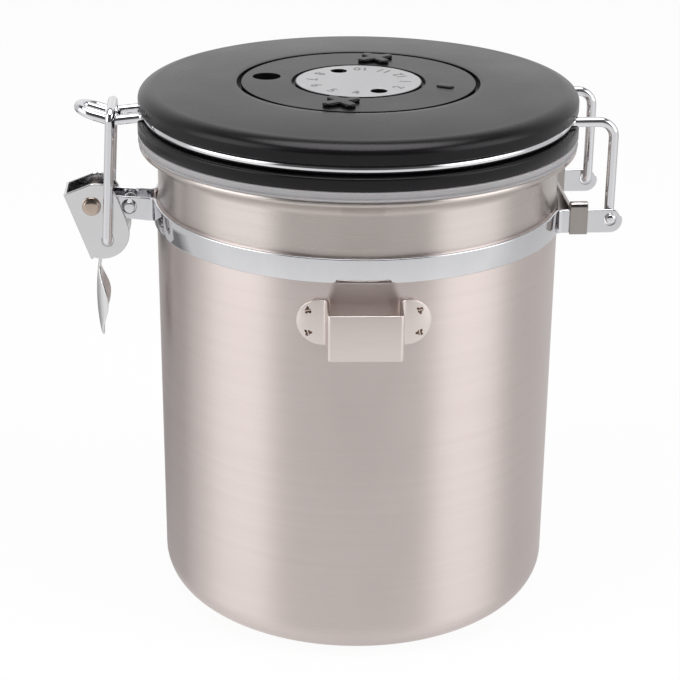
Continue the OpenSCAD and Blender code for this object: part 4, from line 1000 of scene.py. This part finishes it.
# A spot weld's crater: a low burr round a dimple, turned round its own axis.
def weldMark():
    profile = [[0, -0.2], [0.95, -0.2], [0.92, 0.04], [0.7, 0.14], [0.5, 0.1], [0.3, 0.03], [0, 0.01]]
    return lathe(np.array(profile), 36, closed=False)


# The same crater with its outline pulled about by two waves round it, another way for each mark.
def ragged(points, seed):
    t = np.arctan2(points[:, 1], points[:, 0])
    wave = 1 + 0.22 * np.sin(3 * t + seed) + 0.16 * np.sin(5 * t + 2.3 * seed)
    lift = 1 + 0.9 * np.sin(2 * t + 1.7 * seed)
    return points * np.stack([wave, wave, np.where(points[:, 2] > 0.02, lift, 1)], -1)


crater, craterFaces = weldMark()
marks, markFaces = [], []
for x in (-scoop["weldX"], scoop["weldX"]):
    for z in (-scoop["weldZ"], scoop["weldZ"]):
        a = math.asin(x / (scoop["bodyR"] + scoop["thick"]))
        out = [[math.cos(a), 0, math.sin(a)], [math.sin(a), 0, -math.cos(a)], [0, 1, 0]]
        r = scoop["bodyR"] + scoop["thick"] - 0.02
        spot = turned(ragged(crater, 1.9 * len(marks) + 0.6), (r * math.sin(a), -r * math.cos(a), scoop["z"] + z), out)
        marks.append(turned(spot, (0, 0, 0), holderTurn))
        markFaces += [[k + len(crater) * (len(marks) - 1) for k in f] for f in craterFaces]
makePiece("weld_marks", np.vstack(marks), markFaces, "canister", "satin_steel", "weldBrown", 60)
print("scoop holder made")


# CAD nodes that stay in sight take their own finishes; the day scale's near-black colour is painted shade for the deep
# window

kept = {"lid_screws": "screwSteel", "dial_axle": "blackPlastic",
        "dial_clip": "screwSteel", "valve_seat": "whitePlastic", "valve_membrane": "brownRubber",
        "valve_cage": "whitePlastic", "filter_screen": "screwSteel", "day_scale": "scalePaintedShade"}
for node, finish in kept.items():
    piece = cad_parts[node]
    piece.data.materials.clear()
    piece.data.materials.append(finishes[finish])
print("CAD nodes dressed:", len(kept))


# Studio: a white floor and backdrop, soft lamps, and cards that only reflections see. A card's angle is from the
# camera's side; the low ones stand for the table, the high ones for the walls, and one hangs overhead.

studio = {"floor": 3.0, "glow": 0.93, "turn": 95.0, "fill": 0.45, "overhead": 5.0}
lowCards = [(-180, 0.7), (-150, 0.74), (-112, 0.7), (-98, 0.76), (-80, 0.93), (-50, 0.93), (-36, 0.84), (0, 0.82),
            (36, 0.84), (50, 0.93), (80, 0.93), (98, 0.7), (112, 0.66), (150, 0.66), (180, 0.66)]
highCards = [(0, 0.08), (41, 0.12), (54, 2.6), (84, 2.8), (98, 0.7), (124, 0.7), (140, 0.85), (166, 1.0), (180, 0.92)]
highCards = sorted({(side * a, level) for a, level in highCards for side in (-1, 1)})
shadeAngles = [(-172, 1), (-160, 0.3), (-118, 0.3), (-106, 1)]      # a dark screen far behind on the left
shadeHeights = [(-0.48, 1), (-0.45, 0.3), (-0.3, 0.3), (-0.27, 1)]
heightCards = [(-1.0, 1.15), (-0.6, 1.1), (-0.2, 1.0), (0.62, 1.0), (0.76, 0.15), (0.86, 0.1), (1.0, 0.1)]


# One where a ray of any of the named kinds looks.
def seenMask(tree, *names):
    path = treeNode(tree, "ShaderNodeLightPath")
    mask = path.outputs[names[0]]
    for name in names[1:]:
        mask = treeNode(tree, "ShaderNodeMath", {0: mask, 1: path.outputs[name]}, operation="MAXIMUM").outputs[0]
    return mask


def makeFloor():
    size = studio["floor"]
    mesh = bpy.data.meshes.new("floor")
    mesh.from_pydata([(-size, -size, -0.0001), (size, -size, -0.0001), (size, size, -0.0001),
                      (-size, size, -0.0001)], [], [(0, 1, 2, 3)])
    floor = bpy.data.objects.new("floor", mesh)
    bpy.context.scene.collection.objects.link(floor)
    material = bpy.data.materials.new("floor_white")
    material.use_nodes = True
    tree = material.node_tree
    tree.nodes.clear()
    matt = treeNode(tree, "ShaderNodeBsdfDiffuse", {"Color": (0.9, 0.9, 0.9, 1)})
    glow = treeNode(tree, "ShaderNodeEmission", {"Color": (1, 1, 1, 1), "Strength": 1.0})
    seen = seenMask(tree, "Is Camera Ray", "Is Transmission Ray")
    share = treeNode(tree, "ShaderNodeMath", {0: seen, 1: studio["glow"]}, operation="MULTIPLY")
    mix = treeNode(tree, "ShaderNodeMixShader", {0: share.outputs[0], 1: matt.outputs[0], 2: glow.outputs[0]})
    out = treeNode(tree, "ShaderNodeOutputMaterial")
    tree.links.new(mix.outputs[0], out.inputs["Surface"])
    mesh.materials.append(material)
    floor.visible_glossy = False       # reflections of the floor are the low cards'


# Brightness along a value from 0 to 1; a card stands at its share of the reach from the middle.
def cardRamp(tree, value, cards, reach):
    ramp = treeNode(tree, "ShaderNodeValToRGB", {"Fac": value})
    elements = ramp.color_ramp.elements
    for k, (place, level) in enumerate(cards):
        element = elements[k] if k < 2 else elements.new(1.0)
        element.position = 0.5 + place / reach
        element.color = (level, level, level, 1)
    return ramp.outputs["Color"]


# White for the camera, a plain grey for soft light, and cards by angle and height for reflections.
def makeWorld():
    world = bpy.data.worlds.new("studio")
    bpy.context.scene.world = world
    world.use_nodes = True
    tree = world.node_tree
    tree.nodes.clear()
    way = treeNode(tree, "ShaderNodeTexCoord").outputs["Generated"]
    turn = treeNode(tree, "ShaderNodeMapping", {"Vector": way, "Rotation": (0, 0, math.radians(studio["turn"]))})
    angle = treeNode(tree, "ShaderNodeTexGradient", {"Vector": turn.outputs[0]}, gradient_type="RADIAL")
    height = treeNode(tree, "ShaderNodeSeparateXYZ", {0: way}).outputs["Z"]
    lowLight = cardRamp(tree, angle.outputs["Fac"], lowCards, 360)
    highLight = cardRamp(tree, angle.outputs["Fac"], highCards, 360)
    level = treeNode(tree, "ShaderNodeMapRange", {0: height, 1: -1.0, 2: 1.0})
    screen = treeNode(tree, "ShaderNodeVectorMath", {0: cardRamp(tree, angle.outputs["Fac"], shadeAngles, 360),
                                                     1: cardRamp(tree, level.outputs[0], shadeHeights, 2)},
                      operation="MAXIMUM")
    shaded = treeNode(tree, "ShaderNodeVectorMath", {0: lowLight, 1: screen.outputs[0]}, operation="MULTIPLY")
    split = treeNode(tree, "ShaderNodeMapRange", {0: height, 1: -0.03, 2: 0.03})
    both = treeNode(tree, "ShaderNodeMix", data_type="RGBA")
    tree.links.new(split.outputs[0], both.inputs[0])
    tree.links.new(shaded.outputs[0], both.inputs[6])
    tree.links.new(highLight, both.inputs[7])
    fade = cardRamp(tree, level.outputs[0], heightCards, 2)
    cards = treeNode(tree, "ShaderNodeVectorMath", {0: both.outputs[2], 1: fade}, operation="MULTIPLY")
    top = treeNode(tree, "ShaderNodeMapRange", {0: height, 1: 0.87, 2: 0.92, 4: studio["overhead"]})
    whole = treeNode(tree, "ShaderNodeVectorMath", {0: cards.outputs[0], 1: top.outputs[0]}, operation="ADD")
    gloss = treeNode(tree, "ShaderNodeBackground", {"Color": whole.outputs[0], "Strength": 1.0})
    white = treeNode(tree, "ShaderNodeBackground", {"Color": (1, 1, 1, 1), "Strength": 1.0})
    fill = treeNode(tree, "ShaderNodeBackground", {"Color": (1, 1, 1, 1), "Strength": studio["fill"]})
    first = treeNode(tree, "ShaderNodeMixShader", {0: seenMask(tree, "Is Camera Ray", "Is Transmission Ray"),
                                                   1: fill.outputs[0], 2: white.outputs[0]})
    last = treeNode(tree, "ShaderNodeMixShader", {0: seenMask(tree, "Is Glossy Ray"), 1: first.outputs[0],
                                                  2: gloss.outputs[0]})
    out = treeNode(tree, "ShaderNodeOutputWorld")
    tree.links.new(last.outputs[0], out.inputs["Surface"])


def makeLamp(name, place, aim, size, power):
    data = bpy.data.lights.new(name, "AREA")
    data.shape, data.size, data.size_y, data.energy = "RECTANGLE", size[0], size[1], power
    lamp = bpy.data.objects.new(name, data)
    lamp.location = place
    lamp.rotation_euler = (Vector(aim) - Vector(place)).to_track_quat("-Z", "Y").to_euler()
    lamp.visible_glossy = False
    bpy.context.scene.collection.objects.link(lamp)


makeFloor()
makeWorld()
makeLamp("left_lamp", (-1.0, -0.5, 0.7), (0, 0, 0.08), (0.6, 0.9), 7)
makeLamp("right_lamp", (1.0, -0.5, 0.7), (0, 0, 0.08), (0.6, 0.9), 7)
makeLamp("top_lamp", (0, -0.1, 1.2), (0, 0, 0.1), (0.8, 0.6), 4)
print("studio made")
